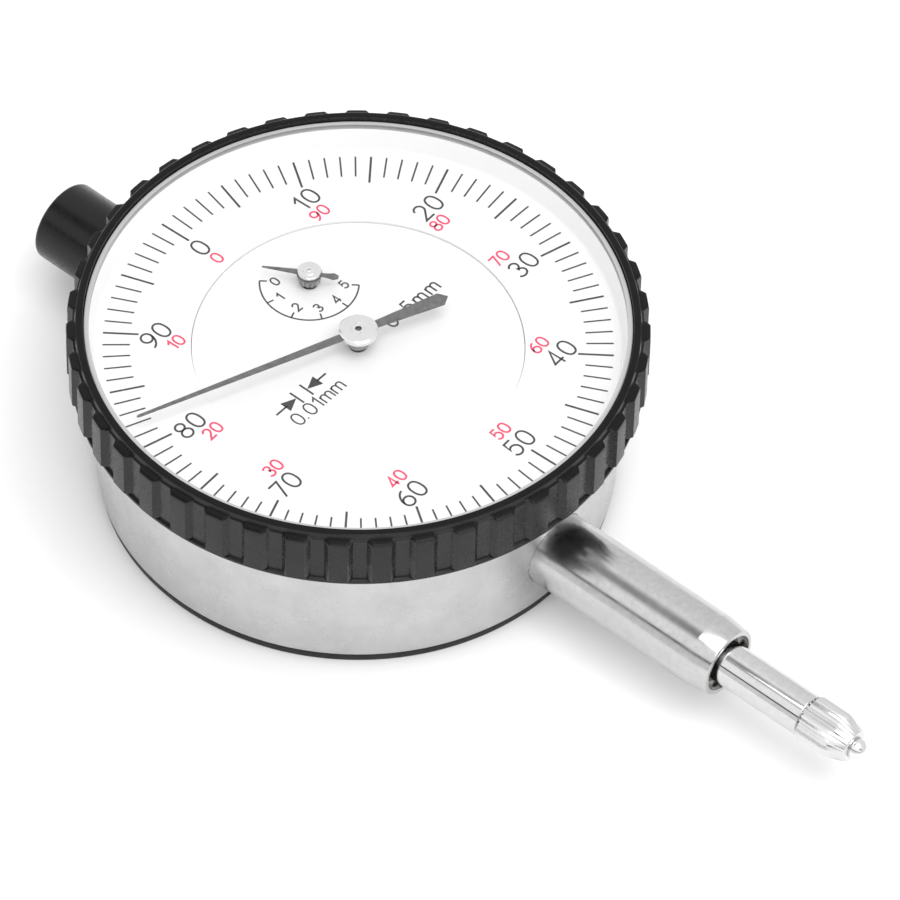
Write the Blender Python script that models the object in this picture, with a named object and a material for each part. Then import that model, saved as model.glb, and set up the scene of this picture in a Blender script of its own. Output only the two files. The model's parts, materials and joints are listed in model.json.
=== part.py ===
"""Dial indicator with a 5 mm travel, reading 0.01 mm a division on a 1 mm dial.

Frame: the origin is the centre of the back cover's outer face, on the dial's axis.
+Z points out of the dial, -Y along the stem to the contact point, +X to the reader's right.
Sizes are in millimetres unless a name says otherwise, and MM turns them into metres.
"""
import math

import bmesh
import bpy

MM = 0.001
GAP = 0.3        # left between pieces that touch on the real object
RUNNING = 0.05   # radial clearance of a shaft in its bearing

# Travel and gear train: the rack turns a pinion, its wheel turns the long hand once a
# millimetre, and a second wheel of the same size turns the short hand ten times slower.
TRAVEL = 5.3
RACK_PITCH = 0.625
RACK_PINION_TEETH = 16
PINION_TEETH = 10
WHEEL_TEETH = 100
SUB_DIAL = (3.1, 9.3)                       # short hand's arbor
RACK_ARBOR = (-SUB_DIAL[0], -SUB_DIAL[1])   # opposite it, across the centre
CENTRE_DISTANCE = math.hypot(*SUB_DIAL)
TRAIN_MODULE = 2 * CENTRE_DISTANCE / (WHEEL_TEETH + PINION_TEETH)
RACK_MODULE = RACK_PITCH / math.pi
RACK_PINION_RADIUS = RACK_MODULE * RACK_PINION_TEETH / 2
RACK_LINE_X = RACK_ARBOR[0] + RACK_PINION_RADIUS

# Case and back cover
CASE_RADIUS = 26.6
CASE_INNER = 24.9
CASE_BACK = 1.05
CASE_SHOULDER = 14.2
NECK_RADIUS = 25.6
NECK_INNER = 24.4
NECK_TOP = 17.2
GROOVE_RADIUS = 24.9
GROOVE_Z = (15.2, 16.2)
WEB_Z = (15.0, 16.4)
CENTRE_HOLE = 2.0
COVER_RADIUS = 26.4
COVER_TOP = 0.8
LUG_CIRCLE = 23.0
LUG_RADIUS = 2.1
LUG_RELIEF = 0.2                            # lugs stop short of the case's rim
LUG_TOP = 6.0
LUG_HOLE = 1.05
SUB_DIAL_HOLE = 1.2                         # in the web, round the short hand's arbor
FRONT_SCREW_HOLE = 1.0
FRONT_SCREW_ROOF = 0.4                      # metal left over the front plate's screws
COVER_SINK = (2.6, 1.05, 0.75)              # countersink's radius, hole's radius, depth
COVER_SCREW = (1.25, 0.7, 5.0)              # head, shank, tip height
LUG_ANGLES = (45, 135, 225, 315)

# Bezel, crystal and dial
BEZEL_Z = (14.5, 21.9)
BEZEL_TEETH = 43
FOOT_RADIUS = 28.45
FLANGE = (29.0, 15.1)                        # radius, lower edge
KNURL_RADIUS = 29.35
KNURL_DEPTH = 0.75
KNURL_Z = (15.5, 21.2)
RIM_RADIUS = 28.45
KNURL_CHAMFER = 0.1
BEZEL_GROOVE = 26.4
SPRING_RING = (25.4, 26.0, 0.2)             # inner and outer radius, clearance in its groove
SEAT_RADIUS = 27.6
LEDGE_Z = 17.2
DIAL_TOP = 18.0
DIAL_THICKNESS = 0.5
DIAL_RADIUS = 27.3
DIAL_SPLIT = 16.8
DIAL_SPLIT_GAP = 0.15
DIAL_HOLE = 0.9
DIAL_FOOT = (12.5, 15.5)                    # ring that the inner disc stands on
SPACER_INNER = 26.4
SPACER_Z = (18.3, 20.5)
CRYSTAL_Z = (20.8, 21.4)
CRYSTAL_RADIUS = 27.3
CRYSTAL_CHAMFER = 0.2

# Stem, spindle and cap, all on one axis parallel to Y
AXIS_Z = 7.0
STEM_RADIUS = 4.0
STEM_BORE = 2.75
STEM_MOUTH_RADIUS = 3.62
STEM_TAPER_Y = -46.2
STEM_END_Y = -48.9
STEM_FLANGE = (5.2, -23.6, -22.0)           # radius, outer end, inner end
BUSH_OUTER = 2.6
BUSH_Y = (-48.0, -36.0)
SPINDLE_RADIUS = 2.25
SPINDLE_Y = (-59.1, 33.0)
SOCKET_RADIUS = 1.25
SOCKET_DEPTH = 3.9
CONTACT_RADIUS = 2.45
CONTACT_KNURL_Y = (-63.0, -59.4)
CONTACT_TIP = (1.58, -64.75)
CONTACT_TEETH = 24
BALL_RADIUS = 1.15
BALL_Y = -65.2
CAP_RADIUS = 4.4
CAP_BORE = 3.3
CAP_Y = (26.9, 40.7)
CAP_ROOF = 1.2
CAP_CHAMFER = 0.5
UPPER_BUSH_OUTER = 3.0
UPPER_BUSH_Y = (22.0, 31.0)
UPPER_BUSH_FLANGE = (4.0, 1.6)              # radius, thickness

# Movement: plates, bridges, pillars and arbors
FRONT_PLATE_Z = (13.4, 14.6)
FRONT_PLATE_RADIUS = 19.0
FRONT_SCREW_CIRCLE = 16.5
FRONT_SCREW_ANGLES = (20, 140, 260)
UPPER_BRIDGE_Z = (9.7, 10.6)
UPPER_PILLARS = ((7.6, -2.56), (-7.6, 2.56))
LOWER_BRIDGE_Z = (3.0, 3.9)
LOWER_PILLARS = ((-13.5, -6.0), (8.5, -12.5))
PILLAR_RADIUS = 1.3
ARBOR_RADIUS = 0.5
ARBOR_HOLE = ARBOR_RADIUS + RUNNING
WHEEL_Z = (11.6, 12.1)
CENTRE_PINION_Z = (11.3, 12.4)
RACK_PINION_Z = (6.4, 7.6)
HAIRSPRING_Z = (10.95, 11.3)
HAIRSPRING_RADII = (1.7, 5.0)
HAIRSPRING_TURNS = 4
HAIRSPRING_THICKNESS = 0.12
GUIDE_PIN_Y = 14.0
GUIDE_PIN_RADIUS = 0.7
GUIDE_PIN_X = (-7.6, 5.4)
GUIDE_RAIL_X = (3.6, 5.2)
GUIDE_RAIL_Y = (10.8, 21.2)
GUIDE_RAIL_Z = (5.0, 9.4)
SPRING_X = -7.0
SPRING_POST_Y = -19.5
SPRING_POST_RADIUS = 0.8
SPRING_RADIUS = 1.0
SPRING_WIRE = 0.18
SPRING_TURNS = 16
SPRING_STEPS = 6                            # straight pieces in one turn
SCREW_SHANK = 0.6
SCREW_HEAD = 1.2
SCREW_HEAD_HEIGHT = 0.5

# Hands
LONG_HAND_Z = (19.9, 20.05)
LONG_HAND_ANGLE = 68.9                      # counter-clockwise from +Y, as all turns about Z are
LONG_HAND_TIP = 24.9
LONG_HAND_TAIL = 10.2
LONG_HAND_WIDTHS = (0.3, 0.9, 1.5)           # tip, root, tail
LONG_HAND_EYE = 1.85
LONG_HUB_HEAD = (2.0, 20.15, 20.4)          # radius, bottom, top
LONG_HUB_NECK = 1.15
SHORT_HAND_Z = (19.15, 19.3)
SHORT_HAND_ANGLE = 30.8
SHORT_HAND_TIP = 4.9
SHORT_HAND_TAIL = 3.0
SHORT_HAND_WIDTHS = (0.25, 0.6, 0.8)
SHORT_HAND_EYE = 1.4
SHORT_HUB_HEAD = (1.22, 19.4, 19.72)
SHORT_HUB_NECK = 0.95
HUB_BOTTOM = 18.3
HUB_BORE = ARBOR_RADIUS + GAP
LONG_HUB_BORE_TOP = 19.85
SHORT_HUB_BORE_TOP = 19.3

FINE = 2 * BEZEL_TEETH                      # facets round the bezel, two to each tooth
ROUND = 48                                  # facets round the case and the dial
MEDIUM = 24                                 # facets round the stem and spindle
SMALL = 12                                  # facets round screws, pillars and arbors

# Finishes: colour, roughness, metallic
SATIN_STEEL = ((0.62, 0.62, 0.61), 0.38, 1.0)
POLISHED_STEEL = ((0.72, 0.72, 0.72), 0.16, 1.0)
BRASS = ((0.78, 0.58, 0.26), 0.32, 1.0)
BRONZE = ((0.55, 0.36, 0.18), 0.40, 1.0)
BLACK_PLASTIC = ((0.025, 0.025, 0.028), 0.42, 0.0)
WHITE_ENAMEL = ((0.90, 0.90, 0.90), 0.45, 0.0)
GREY_PAINT = ((0.10, 0.10, 0.11), 0.40, 0.0)
SPRING_STEEL = ((0.45, 0.45, 0.47), 0.30, 1.0)
CLEAR = ((0.95, 0.97, 0.97), 0.03, 0.0)


def clear_scene():
    for item in list(bpy.data.objects):
        bpy.data.objects.remove(item, do_unlink=True)


def finish_material(name, finish):
    colour, roughness, metallic = finish
    material = bpy.data.materials.new(name)
    material.use_nodes = True
    shader = material.node_tree.nodes["Principled BSDF"]
    shader.inputs["Base Color"].default_value = (*colour, 1.0)
    shader.inputs["Roughness"].default_value = roughness
    shader.inputs["Metallic"].default_value = metallic
    if finish is CLEAR:
        shader.inputs["Transmission Weight"].default_value = 1.0
    return material


def add_object(name, bm, finish, place=(0, 0, 0), turn=(0, 0, 0)):
    """Make an object from a bmesh; place is in millimetres and turn in degrees."""
    bmesh.ops.recalc_face_normals(bm, faces=bm.faces)
    mesh = bpy.data.meshes.new(name)
    bm.to_mesh(mesh)
    bm.free()
    mesh.shade_smooth()
    mesh.set_sharp_from_angle(angle=math.radians(35))
    item = bpy.data.objects.new(name, mesh)
    item.location = [value * MM for value in place]
    item.rotation_euler = [math.radians(value) for value in turn]
    bpy.context.collection.objects.link(item)
    mesh.materials.append(finish_material(name, finish))
    return item


def turned_mesh(profile, segments):
    """Spin a closed outline of (radius, height) about Z; it may start and end on the axis."""
    bm = bmesh.new()
    points = [bm.verts.new((radius * MM, 0, height * MM)) for radius, height in profile]
    edges = [bm.edges.new(pair) for pair in zip(points, points[1:])]
    if profile[0][0] > 0 or profile[-1][0] > 0:
        edges.append(bm.edges.new((points[-1], points[0])))
    bmesh.ops.spin(bm, geom=points + edges, cent=(0, 0, 0), axis=(0, 0, 1),
                   angle=math.tau, steps=segments, use_merge=True)
    bmesh.ops.remove_doubles(bm, verts=bm.verts, dist=1e-7)
    return bm


def cylinder_profile(radius, low, high):
    return [(0, low), (radius, low), (radius, high), (0, high)]


def ring_profile(inner, outer, low, high):
    return [(inner, low), (outer, low), (outer, high), (inner, high)]


def circle(radius, segments, centre=(0, 0), start=0.0):
    step = math.tau / segments
    return [(centre[0] + radius * math.cos(start + step * index),
             centre[1] + radius * math.sin(start + step * index)) for index in range(segments)]


def plate_mesh(outline, low, high, holes=()):
    """A flat plate between two heights, with an outline and holes of (x, y) points."""
    bm = bmesh.new()
    edges = []
    for loop in (outline, *holes):
        points = [bm.verts.new((x * MM, y * MM, low * MM)) for x, y in loop]
        edges += [bm.edges.new(pair) for pair in zip(points, points[1:] + points[:1])]
    bmesh.ops.triangle_fill(bm, edges=edges, use_beauty=True, use_dissolve=False)
    top = bmesh.ops.extrude_face_region(bm, geom=bm.faces[:])
    raised = [part for part in top["geom"] if isinstance(part, bmesh.types.BMVert)]
    bmesh.ops.translate(bm, verts=raised, vec=(0, 0, (high - low) * MM))
    return bm


def flute(bm, teeth, low, high, inside, depth):
    """Press every second column of an outer wall inwards, which leaves the teeth."""
    half_pitch = math.pi / teeth
    for vert in bm.verts:
        radius = math.hypot(vert.co.x, vert.co.y)
        column = round(math.atan2(vert.co.y, vert.co.x) / half_pitch)
        in_band = low * MM - 1e-7 < vert.co.z < high * MM + 1e-7
        if in_band and radius > inside * MM and column % 2:
            scale = (radius - depth * MM) / radius
            vert.co.x *= scale
            vert.co.y *= scale


def rounded_hull(circles):
    """Convex outline round (x, y, radius) discs."""
    cloud = sorted(point for x, y, radius in circles for point in circle(radius, 20, (x, y)))

    def half(points):
        chain = []
        for point in points:
            while len(chain) > 1 and turn_of(chain[-2], chain[-1], point) <= 1e-9:
                chain.pop()
            chain.append(point)
        return chain[:-1]

    return half(cloud) + half(cloud[::-1])


def turn_of(first, second, third):
    return ((second[0] - first[0]) * (third[1] - first[1])
            - (second[1] - first[1]) * (third[0] - first[0]))


def gear_outline(teeth, module, root_width, tip_width, first_tooth=0.0):
    """Straight-sided teeth; the widths are shares of the tooth pitch at root and tip."""
    pitch = math.tau / teeth
    tip = module * (teeth / 2 + 0.95)
    root = module * (teeth / 2 - 1.2)
    points = []
    for index in range(teeth):
        middle = first_tooth + index * pitch
        edges = [(root, -root_width / 2), (tip, -tip_width / 2), (tip, tip_width / 2), (root, root_width / 2)]
        if tip_width == 0:
            edges.pop(1)
        points += [(radius * math.cos(middle + share * pitch), radius * math.sin(middle + share * pitch))
                   for radius, share in edges]
    return points


def cutter(name, meshes):
    """Join meshes that don't touch each other into one hidden tool for a Boolean."""
    joined = bpy.data.meshes.new(name)
    whole = bmesh.new()
    for bm in meshes:
        bmesh.ops.recalc_face_normals(bm, faces=bm.faces)
        bm.to_mesh(joined)
        bm.free()
        whole.from_mesh(joined)
    whole.to_mesh(joined)
    whole.free()
    item = bpy.data.objects.new(name, joined)
    item.hide_render = True
    item.display_type = "WIRE"
    bpy.context.collection.objects.link(item)
    return item


def combine(target, tool, operation):
    tool.parent = target
    tool.matrix_parent_inverse = target.matrix_basis.inverted()
    modifier = target.modifiers.new(tool.name, "BOOLEAN")
    modifier.operation = operation
    modifier.solver = "EXACT"
    modifier.object = tool


def moved(bm, place=(0, 0, 0), turn=None):
    """Shift a bmesh by millimetres, after turning its Z axis to lie along X or Y."""
    if turn:
        swap = {"X": (2, 0, 1), "Y": (1, 2, 0)}[turn]
        for vert in bm.verts:
            vert.co = [vert.co[index] for index in swap]
    bmesh.ops.translate(bm, verts=bm.verts, vec=[value * MM for value in place])
    return bm


ALONG_Y = (-90, 0, 0)          # local Z becomes world +Y
ON_AXIS = (0, 0, AXIS_Z)


def on_circle(radius, degrees):
    angle = math.radians(degrees)
    return radius * math.cos(angle), radius * math.sin(angle)


def back_cover():
    cover = add_object("back_cover", turned_mesh(cylinder_profile(COVER_RADIUS, 0, COVER_TOP), ROUND),
                       BLACK_PLASTIC)
    wide, hole, depth = COVER_SINK
    head, shank, tip = COVER_SCREW
    sink = [(0, -1), (wide, -1), (hole, depth), (hole, 2), (0, 2)]
    sinks = [moved(turned_mesh(sink, SMALL), (*on_circle(LUG_CIRCLE, angle), 0)) for angle in LUG_ANGLES]
    combine(cover, cutter("countersinks", sinks), "DIFFERENCE")
    for number, angle in enumerate(LUG_ANGLES, 1):
        profile = [(0, 0.1), (head, 0.1), (shank, depth), (shank, tip), (0, tip)]
        add_object(f"back_cover_screw_{number}", turned_mesh(profile, SMALL), SPRING_STEEL,
                   (*on_circle(LUG_CIRCLE, angle), 0))


def case():
    profile = [(CASE_INNER, CASE_BACK), (CASE_RADIUS, CASE_BACK), (CASE_RADIUS, CASE_SHOULDER),
               (NECK_RADIUS, CASE_SHOULDER), (NECK_RADIUS, GROOVE_Z[0]), (GROOVE_RADIUS, GROOVE_Z[0]),
               (GROOVE_RADIUS, GROOVE_Z[1]), (NECK_RADIUS, GROOVE_Z[1]), (NECK_RADIUS, NECK_TOP),
               (NECK_INNER, NECK_TOP), (NECK_INNER, WEB_Z[1]), (CENTRE_HOLE, WEB_Z[1]),
               (CENTRE_HOLE, WEB_Z[0]), (CASE_INNER, WEB_Z[0])]
    shell = add_object("case", turned_mesh(profile, ROUND), SATIN_STEEL)
    lugs = [moved(turned_mesh(cylinder_profile(LUG_RADIUS, CASE_BACK + LUG_RELIEF, LUG_TOP), SMALL),
                  (*on_circle(LUG_CIRCLE, angle), 0)) for angle in LUG_ANGLES]
    combine(shell, cutter("case_lugs", lugs), "UNION")
    stem_hole = cylinder_profile(STEM_RADIUS + GAP, -30, -20)
    cap_hole = cylinder_profile(UPPER_BUSH_OUTER + GAP, 20, 30)
    holes = [moved(turned_mesh(stem_hole, MEDIUM), ON_AXIS, "Y"),
             moved(turned_mesh(cap_hole, MEDIUM), ON_AXIS, "Y"),
             moved(turned_mesh(cylinder_profile(SUB_DIAL_HOLE, 14, 18), SMALL), (*SUB_DIAL, 0))]
    holes += [moved(turned_mesh(cylinder_profile(LUG_HOLE, 0, LUG_TOP - 0.5), SMALL),
                    (*on_circle(LUG_CIRCLE, angle), 0)) for angle in LUG_ANGLES]
    holes += [moved(turned_mesh(cylinder_profile(FRONT_SCREW_HOLE, 14, WEB_Z[1] - FRONT_SCREW_ROOF), SMALL),
                    (*on_circle(FRONT_SCREW_CIRCLE, angle), 0)) for angle in FRONT_SCREW_ANGLES]
    combine(shell, cutter("case_holes", holes), "DIFFERENCE")


def bezel_group():
    bore = NECK_RADIUS + RUNNING
    bottom, top = BEZEL_Z
    profile = [(bore, bottom), (FOOT_RADIUS, bottom), FLANGE, (FLANGE[0], KNURL_Z[0] - KNURL_CHAMFER),
               (KNURL_RADIUS, KNURL_Z[0]), (KNURL_RADIUS, KNURL_Z[1]), (RIM_RADIUS, top),
               (SEAT_RADIUS, top), (SEAT_RADIUS, LEDGE_Z), (bore, LEDGE_Z),
               (bore, GROOVE_Z[1]), (BEZEL_GROOVE, GROOVE_Z[1]), (BEZEL_GROOVE, GROOVE_Z[0]),
               (bore, GROOVE_Z[0])]
    bm = turned_mesh(profile, FINE)
    flute(bm, BEZEL_TEETH, *KNURL_Z, RIM_RADIUS + 0.1, KNURL_DEPTH)
    add_object("bezel", bm, BLACK_PLASTIC)
    inner, outer, clearance = SPRING_RING
    wire = ring_profile(inner, outer, GROOVE_Z[0] + clearance, GROOVE_Z[1] - clearance)
    add_object("bezel_spring_ring", turned_mesh(wire, ROUND), SPRING_STEEL)
    dial_ring = ring_profile(DIAL_SPLIT + DIAL_SPLIT_GAP, DIAL_RADIUS, DIAL_TOP - DIAL_THICKNESS, DIAL_TOP)
    add_object("outer_dial_ring", turned_mesh(dial_ring, ROUND), WHITE_ENAMEL)
    add_object("spacer_ring", turned_mesh(ring_profile(SPACER_INNER, DIAL_RADIUS, *SPACER_Z), ROUND),
               WHITE_ENAMEL)
    low, high = CRYSTAL_Z
    pane = [(0, low), (CRYSTAL_RADIUS, low), (CRYSTAL_RADIUS, high - CRYSTAL_CHAMFER),
            (CRYSTAL_RADIUS - CRYSTAL_CHAMFER, high),
            (0, high)]
    add_object("crystal", turned_mesh(pane, ROUND), CLEAR)


def inner_dial():
    low = DIAL_TOP - DIAL_THICKNESS
    edge = DIAL_SPLIT - DIAL_SPLIT_GAP
    foot = WEB_Z[1] + GAP
    foot_inner, foot_outer = DIAL_FOOT
    profile = [(DIAL_HOLE, low), (foot_inner, low), (foot_inner, foot), (foot_outer, foot),
               (foot_outer, low), (edge, low), (edge, DIAL_TOP), (DIAL_HOLE, DIAL_TOP)]
    disc = add_object("inner_dial_disc", turned_mesh(profile, ROUND), WHITE_ENAMEL)
    arbor_hole = moved(turned_mesh(cylinder_profile(DIAL_HOLE, low - 1, DIAL_TOP + 1), SMALL), (*SUB_DIAL, 0))
    combine(disc, cutter("sub_dial_hole", [arbor_hole]), "DIFFERENCE")


def stem():
    flange, flange_outer, flange_inner = STEM_FLANGE
    profile = [(STEM_BORE, STEM_END_Y), (STEM_MOUTH_RADIUS, STEM_END_Y), (STEM_RADIUS, STEM_TAPER_Y),
               (STEM_RADIUS, flange_outer), (flange, flange_outer), (flange, flange_inner),
               (STEM_BORE, flange_inner)]
    add_object("stem", turned_mesh(profile, MEDIUM), SATIN_STEEL, ON_AXIS, ALONG_Y)
    bush = ring_profile(SPINDLE_RADIUS + RUNNING, BUSH_OUTER, *BUSH_Y)
    add_object("stem_bush", turned_mesh(bush, MEDIUM), BRONZE, ON_AXIS, ALONG_Y)


def dust_cap():
    low, high = CAP_Y
    cap = [(0, high - CAP_ROOF), (CAP_BORE, high - CAP_ROOF), (CAP_BORE, low), (CAP_RADIUS, low),
           (CAP_RADIUS, high - CAP_CHAMFER), (CAP_RADIUS - CAP_CHAMFER, high), (0, high)]
    add_object("dust_cap", turned_mesh(cap, MEDIUM), BLACK_PLASTIC, ON_AXIS, ALONG_Y)
    bore = SPINDLE_RADIUS + RUNNING
    flange, thickness = UPPER_BUSH_FLANGE
    low, high = UPPER_BUSH_Y
    bush = [(bore, low), (flange, low), (flange, low + thickness), (UPPER_BUSH_OUTER, low + thickness),
            (UPPER_BUSH_OUTER, high), (bore, high)]
    add_object("upper_bush", turned_mesh(bush, MEDIUM), BRONZE, ON_AXIS, ALONG_Y)


def spindle_group():
    low, high = SPINDLE_Y
    rod = [(0, low + SOCKET_DEPTH), (SOCKET_RADIUS, low + SOCKET_DEPTH), (SOCKET_RADIUS, low),
           (SPINDLE_RADIUS, low), (SPINDLE_RADIUS, high - 0.4), (SPINDLE_RADIUS - 0.4, high), (0, high)]
    spindle = add_object("spindle", turned_mesh(rod, MEDIUM), POLISHED_STEEL, ON_AXIS, ALONG_Y)
    pin_hole = moved(turned_mesh(cylinder_profile(GUIDE_PIN_RADIUS + GAP, -4, 4), SMALL),
                     (0, GUIDE_PIN_Y, AXIS_Z), "X")
    combine(spindle, cutter("spindle_cuts", [rack_cut(), pin_hole]), "DIFFERENCE")
    length = GUIDE_PIN_X[1] - GUIDE_PIN_X[0]
    add_object("guide_pin", turned_mesh(cylinder_profile(GUIDE_PIN_RADIUS, 0, length), SMALL),
               POLISHED_STEEL, (GUIDE_PIN_X[0], GUIDE_PIN_Y, AXIS_Z), (0, 90, 0))

    tip_radius, tip_y = CONTACT_TIP
    knurl_low, knurl_high = CONTACT_KNURL_Y
    stub = SOCKET_RADIUS - GAP
    bowl = BALL_RADIUS + GAP
    lip_y = BALL_Y + math.sqrt(bowl ** 2 - (tip_radius - 0.15) ** 2)
    contact = [(0, BALL_Y + bowl), (bowl * 0.6, BALL_Y + bowl * 0.8), (tip_radius - 0.15, lip_y),
               (tip_radius, tip_y), (CONTACT_RADIUS - 0.15, knurl_low), (CONTACT_RADIUS, knurl_low + 0.2),
               (CONTACT_RADIUS, knurl_high - 0.2), (CONTACT_RADIUS - 0.2, knurl_high), (stub, knurl_high),
               (stub, low + SOCKET_DEPTH - GAP), (0, low + SOCKET_DEPTH - GAP)]
    bm = turned_mesh(contact, 2 * CONTACT_TEETH)
    flute(bm, CONTACT_TEETH, knurl_low + 0.1, knurl_high - 0.1, CONTACT_RADIUS - 0.1, 0.12)
    add_object("contact_point", bm, SATIN_STEEL, ON_AXIS, ALONG_Y)
    bm = bmesh.new()
    bmesh.ops.create_uvsphere(bm, u_segments=16, v_segments=10, radius=BALL_RADIUS * MM)
    add_object("contact_ball", bm, POLISHED_STEEL, (0, BALL_Y, AXIS_Z), ALONG_Y)


def rack_cut():
    """The space beside the rack: a tooth gap faces the pinion at RACK_ARBOR's height."""
    root = RACK_LINE_X + 1.25 * RACK_MODULE
    tip = RACK_LINE_X - 0.9 * RACK_MODULE
    outside = -SPINDLE_RADIUS - 1
    lowest = RACK_ARBOR[1] - TRAVEL - 2 * RACK_PITCH
    gaps = math.ceil((RACK_ARBOR[1] + 2 * RACK_PITCH - lowest) / RACK_PITCH)
    first = RACK_ARBOR[1] - RACK_PITCH * math.ceil((RACK_ARBOR[1] - lowest) / RACK_PITCH)
    outline = [(outside, first - RACK_PITCH / 2)]
    for index in range(gaps + 1):
        middle = first + index * RACK_PITCH
        outline += [(tip, middle - 0.42 * RACK_PITCH), (root, middle - 0.2 * RACK_PITCH),
                    (root, middle + 0.2 * RACK_PITCH), (tip, middle + 0.42 * RACK_PITCH)]
    outline.append((outside, middle + RACK_PITCH / 2))
    return plate_mesh(outline, AXIS_Z - 3, AXIS_Z + 3)


def screw(name, place, head_low, tip_high):
    """A cheese-head screw that points up."""
    neck = head_low + SCREW_HEAD_HEIGHT
    profile = [(0, head_low), (SCREW_HEAD, head_low), (SCREW_HEAD, neck), (SCREW_SHANK, neck),
               (SCREW_SHANK, tip_high), (0, tip_high)]
    add_object(name, turned_mesh(profile, SMALL), SPRING_STEEL, (*place, 0))


def bridge(name, discs, heights, arbor_holes, screw_holes):
    outline = rounded_hull(discs)
    holes = [circle(ARBOR_HOLE, SMALL, place) for place in arbor_holes]
    holes += [circle(SCREW_SHANK + GAP, SMALL, place) for place in screw_holes]
    add_object(name, plate_mesh(outline, *heights, holes), BRASS)


def pillars_and_screws(name, places, bridge_heights):
    """Pillars stand between a bridge and the front plate, and a screw comes up into each."""
    low = bridge_heights[1] + GAP
    high = FRONT_PLATE_Z[0] - GAP
    depth = low + 1.6
    hole = SCREW_SHANK + GAP
    for number, place in enumerate(places, 1):
        profile = [(0, depth), (hole, depth), (hole, low), (PILLAR_RADIUS, low), (PILLAR_RADIUS, high),
                   (0, high)]
        add_object(f"{name}_pillar_{number}", turned_mesh(profile, SMALL), BRASS, (*place, 0))
        screw(f"{name}_bridge_screw_{number}", place, bridge_heights[0] - GAP - SCREW_HEAD_HEIGHT,
              depth - GAP)


def plates():
    screw_places = [on_circle(FRONT_SCREW_CIRCLE, angle) for angle in FRONT_SCREW_ANGLES]
    holes = [circle(ARBOR_HOLE, SMALL, place) for place in ((0, 0), SUB_DIAL, RACK_ARBOR)]
    holes += [circle(SCREW_SHANK + GAP, SMALL, place) for place in screw_places]
    add_object("front_plate", plate_mesh(circle(FRONT_PLATE_RADIUS, 40), *FRONT_PLATE_Z, holes), BRASS)
    for number, place in enumerate(screw_places, 1):
        screw(f"front_plate_screw_{number}", place, FRONT_PLATE_Z[0] - GAP - SCREW_HEAD_HEIGHT,
              WEB_Z[1] - FRONT_SCREW_ROOF - GAP)

    rail_seat = (sum(GUIDE_RAIL_X) / 2, GUIDE_RAIL_Y[0] + 1.7)
    discs = [(*place, 2.0) for place in (*UPPER_PILLARS, SUB_DIAL, rail_seat)]
    bridge("upper_bridge", discs, UPPER_BRIDGE_Z, ((0, 0), SUB_DIAL), UPPER_PILLARS)
    pillars_and_screws("upper", UPPER_PILLARS, UPPER_BRIDGE_Z)

    discs = [(*place, 2.0) for place in (*LOWER_PILLARS, RACK_ARBOR)]
    bridge("lower_bridge", discs, LOWER_BRIDGE_Z, (RACK_ARBOR,), LOWER_PILLARS)
    pillars_and_screws("lower", LOWER_PILLARS, LOWER_BRIDGE_Z)


def pinion_arbor(name, place, heights, pinion_heights, teeth, module, first_tooth, finish=POLISHED_STEEL):
    """Shaft and pinion in one piece, as they are cut from one bar."""
    shaft = turned_mesh(cylinder_profile(ARBOR_RADIUS, *heights), SMALL)
    arbor = add_object(name, shaft, finish, (*place, 0))
    outline = gear_outline(teeth, module, 0.66, 0.14, first_tooth)
    leaves = moved(plate_mesh(outline, *pinion_heights), (*place, 0))
    combine(arbor, cutter(name + "_leaves", [leaves]), "UNION")


def wheel(name, place, first_tooth):
    outline = gear_outline(WHEEL_TEETH, TRAIN_MODULE, 0.68, 0, first_tooth)
    hole = circle(ARBOR_RADIUS + GAP, SMALL)
    add_object(name, plate_mesh(outline, *WHEEL_Z, [hole]), BRASS, (*place, 0))


def gear_train():
    to_sub_dial = math.atan2(SUB_DIAL[1], SUB_DIAL[0])
    half_tooth = math.pi / WHEEL_TEETH
    bearing = 0.1
    top_pivot = FRONT_PLATE_Z[1] - bearing
    pinion_arbor("centre_pinion_arbor", (0, 0), (UPPER_BRIDGE_Z[0] + bearing, 19.6), CENTRE_PINION_Z,
                 PINION_TEETH, TRAIN_MODULE, to_sub_dial)
    pinion_arbor("rack_pinion_arbor", RACK_ARBOR, (LOWER_BRIDGE_Z[0] + bearing, top_pivot), RACK_PINION_Z,
                 RACK_PINION_TEETH, RACK_MODULE, 0)
    wheel("rack_wheel", RACK_ARBOR, to_sub_dial + half_tooth)
    wheel("short_hand_wheel", SUB_DIAL, to_sub_dial + math.pi + half_tooth)
    shaft = cylinder_profile(ARBOR_RADIUS, UPPER_BRIDGE_Z[0] + bearing, 19.1)
    add_object("short_hand_arbor", turned_mesh(shaft, SMALL), POLISHED_STEEL, (*SUB_DIAL, 0))


def hairspring():
    low, high = HAIRSPRING_Z
    inner, outer = HAIRSPRING_RADII
    away = math.atan2(SUB_DIAL[1], SUB_DIAL[0]) + math.pi
    steps = 16 * HAIRSPRING_TURNS
    edge = []
    for side in (-0.5, 0.5):
        edge.append([])
        for index in range(steps + 1):
            angle = away - (steps - index) * math.tau / 16
            radius = inner + (outer - inner) * index / steps + side * HAIRSPRING_THICKNESS
            edge[-1].append((radius * math.cos(angle), radius * math.sin(angle)))
    add_object("hairspring", plate_mesh(edge[0][::-1] + edge[1], low, high), SPRING_STEEL, (*SUB_DIAL, 0))
    collet = ring_profile(ARBOR_RADIUS + GAP, inner - GAP - 0.1, low, high)
    add_object("hairspring_collet", turned_mesh(collet, SMALL), BRASS, (*SUB_DIAL, 0))
    stud = SUB_DIAL[0] + (outer + 0.9) * math.cos(away), SUB_DIAL[1] + (outer + 0.9) * math.sin(away)
    add_object("hairspring_stud", turned_mesh(cylinder_profile(0.5, UPPER_BRIDGE_Z[1] + GAP, high), SMALL),
               BRASS, (*stud, 0))


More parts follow.
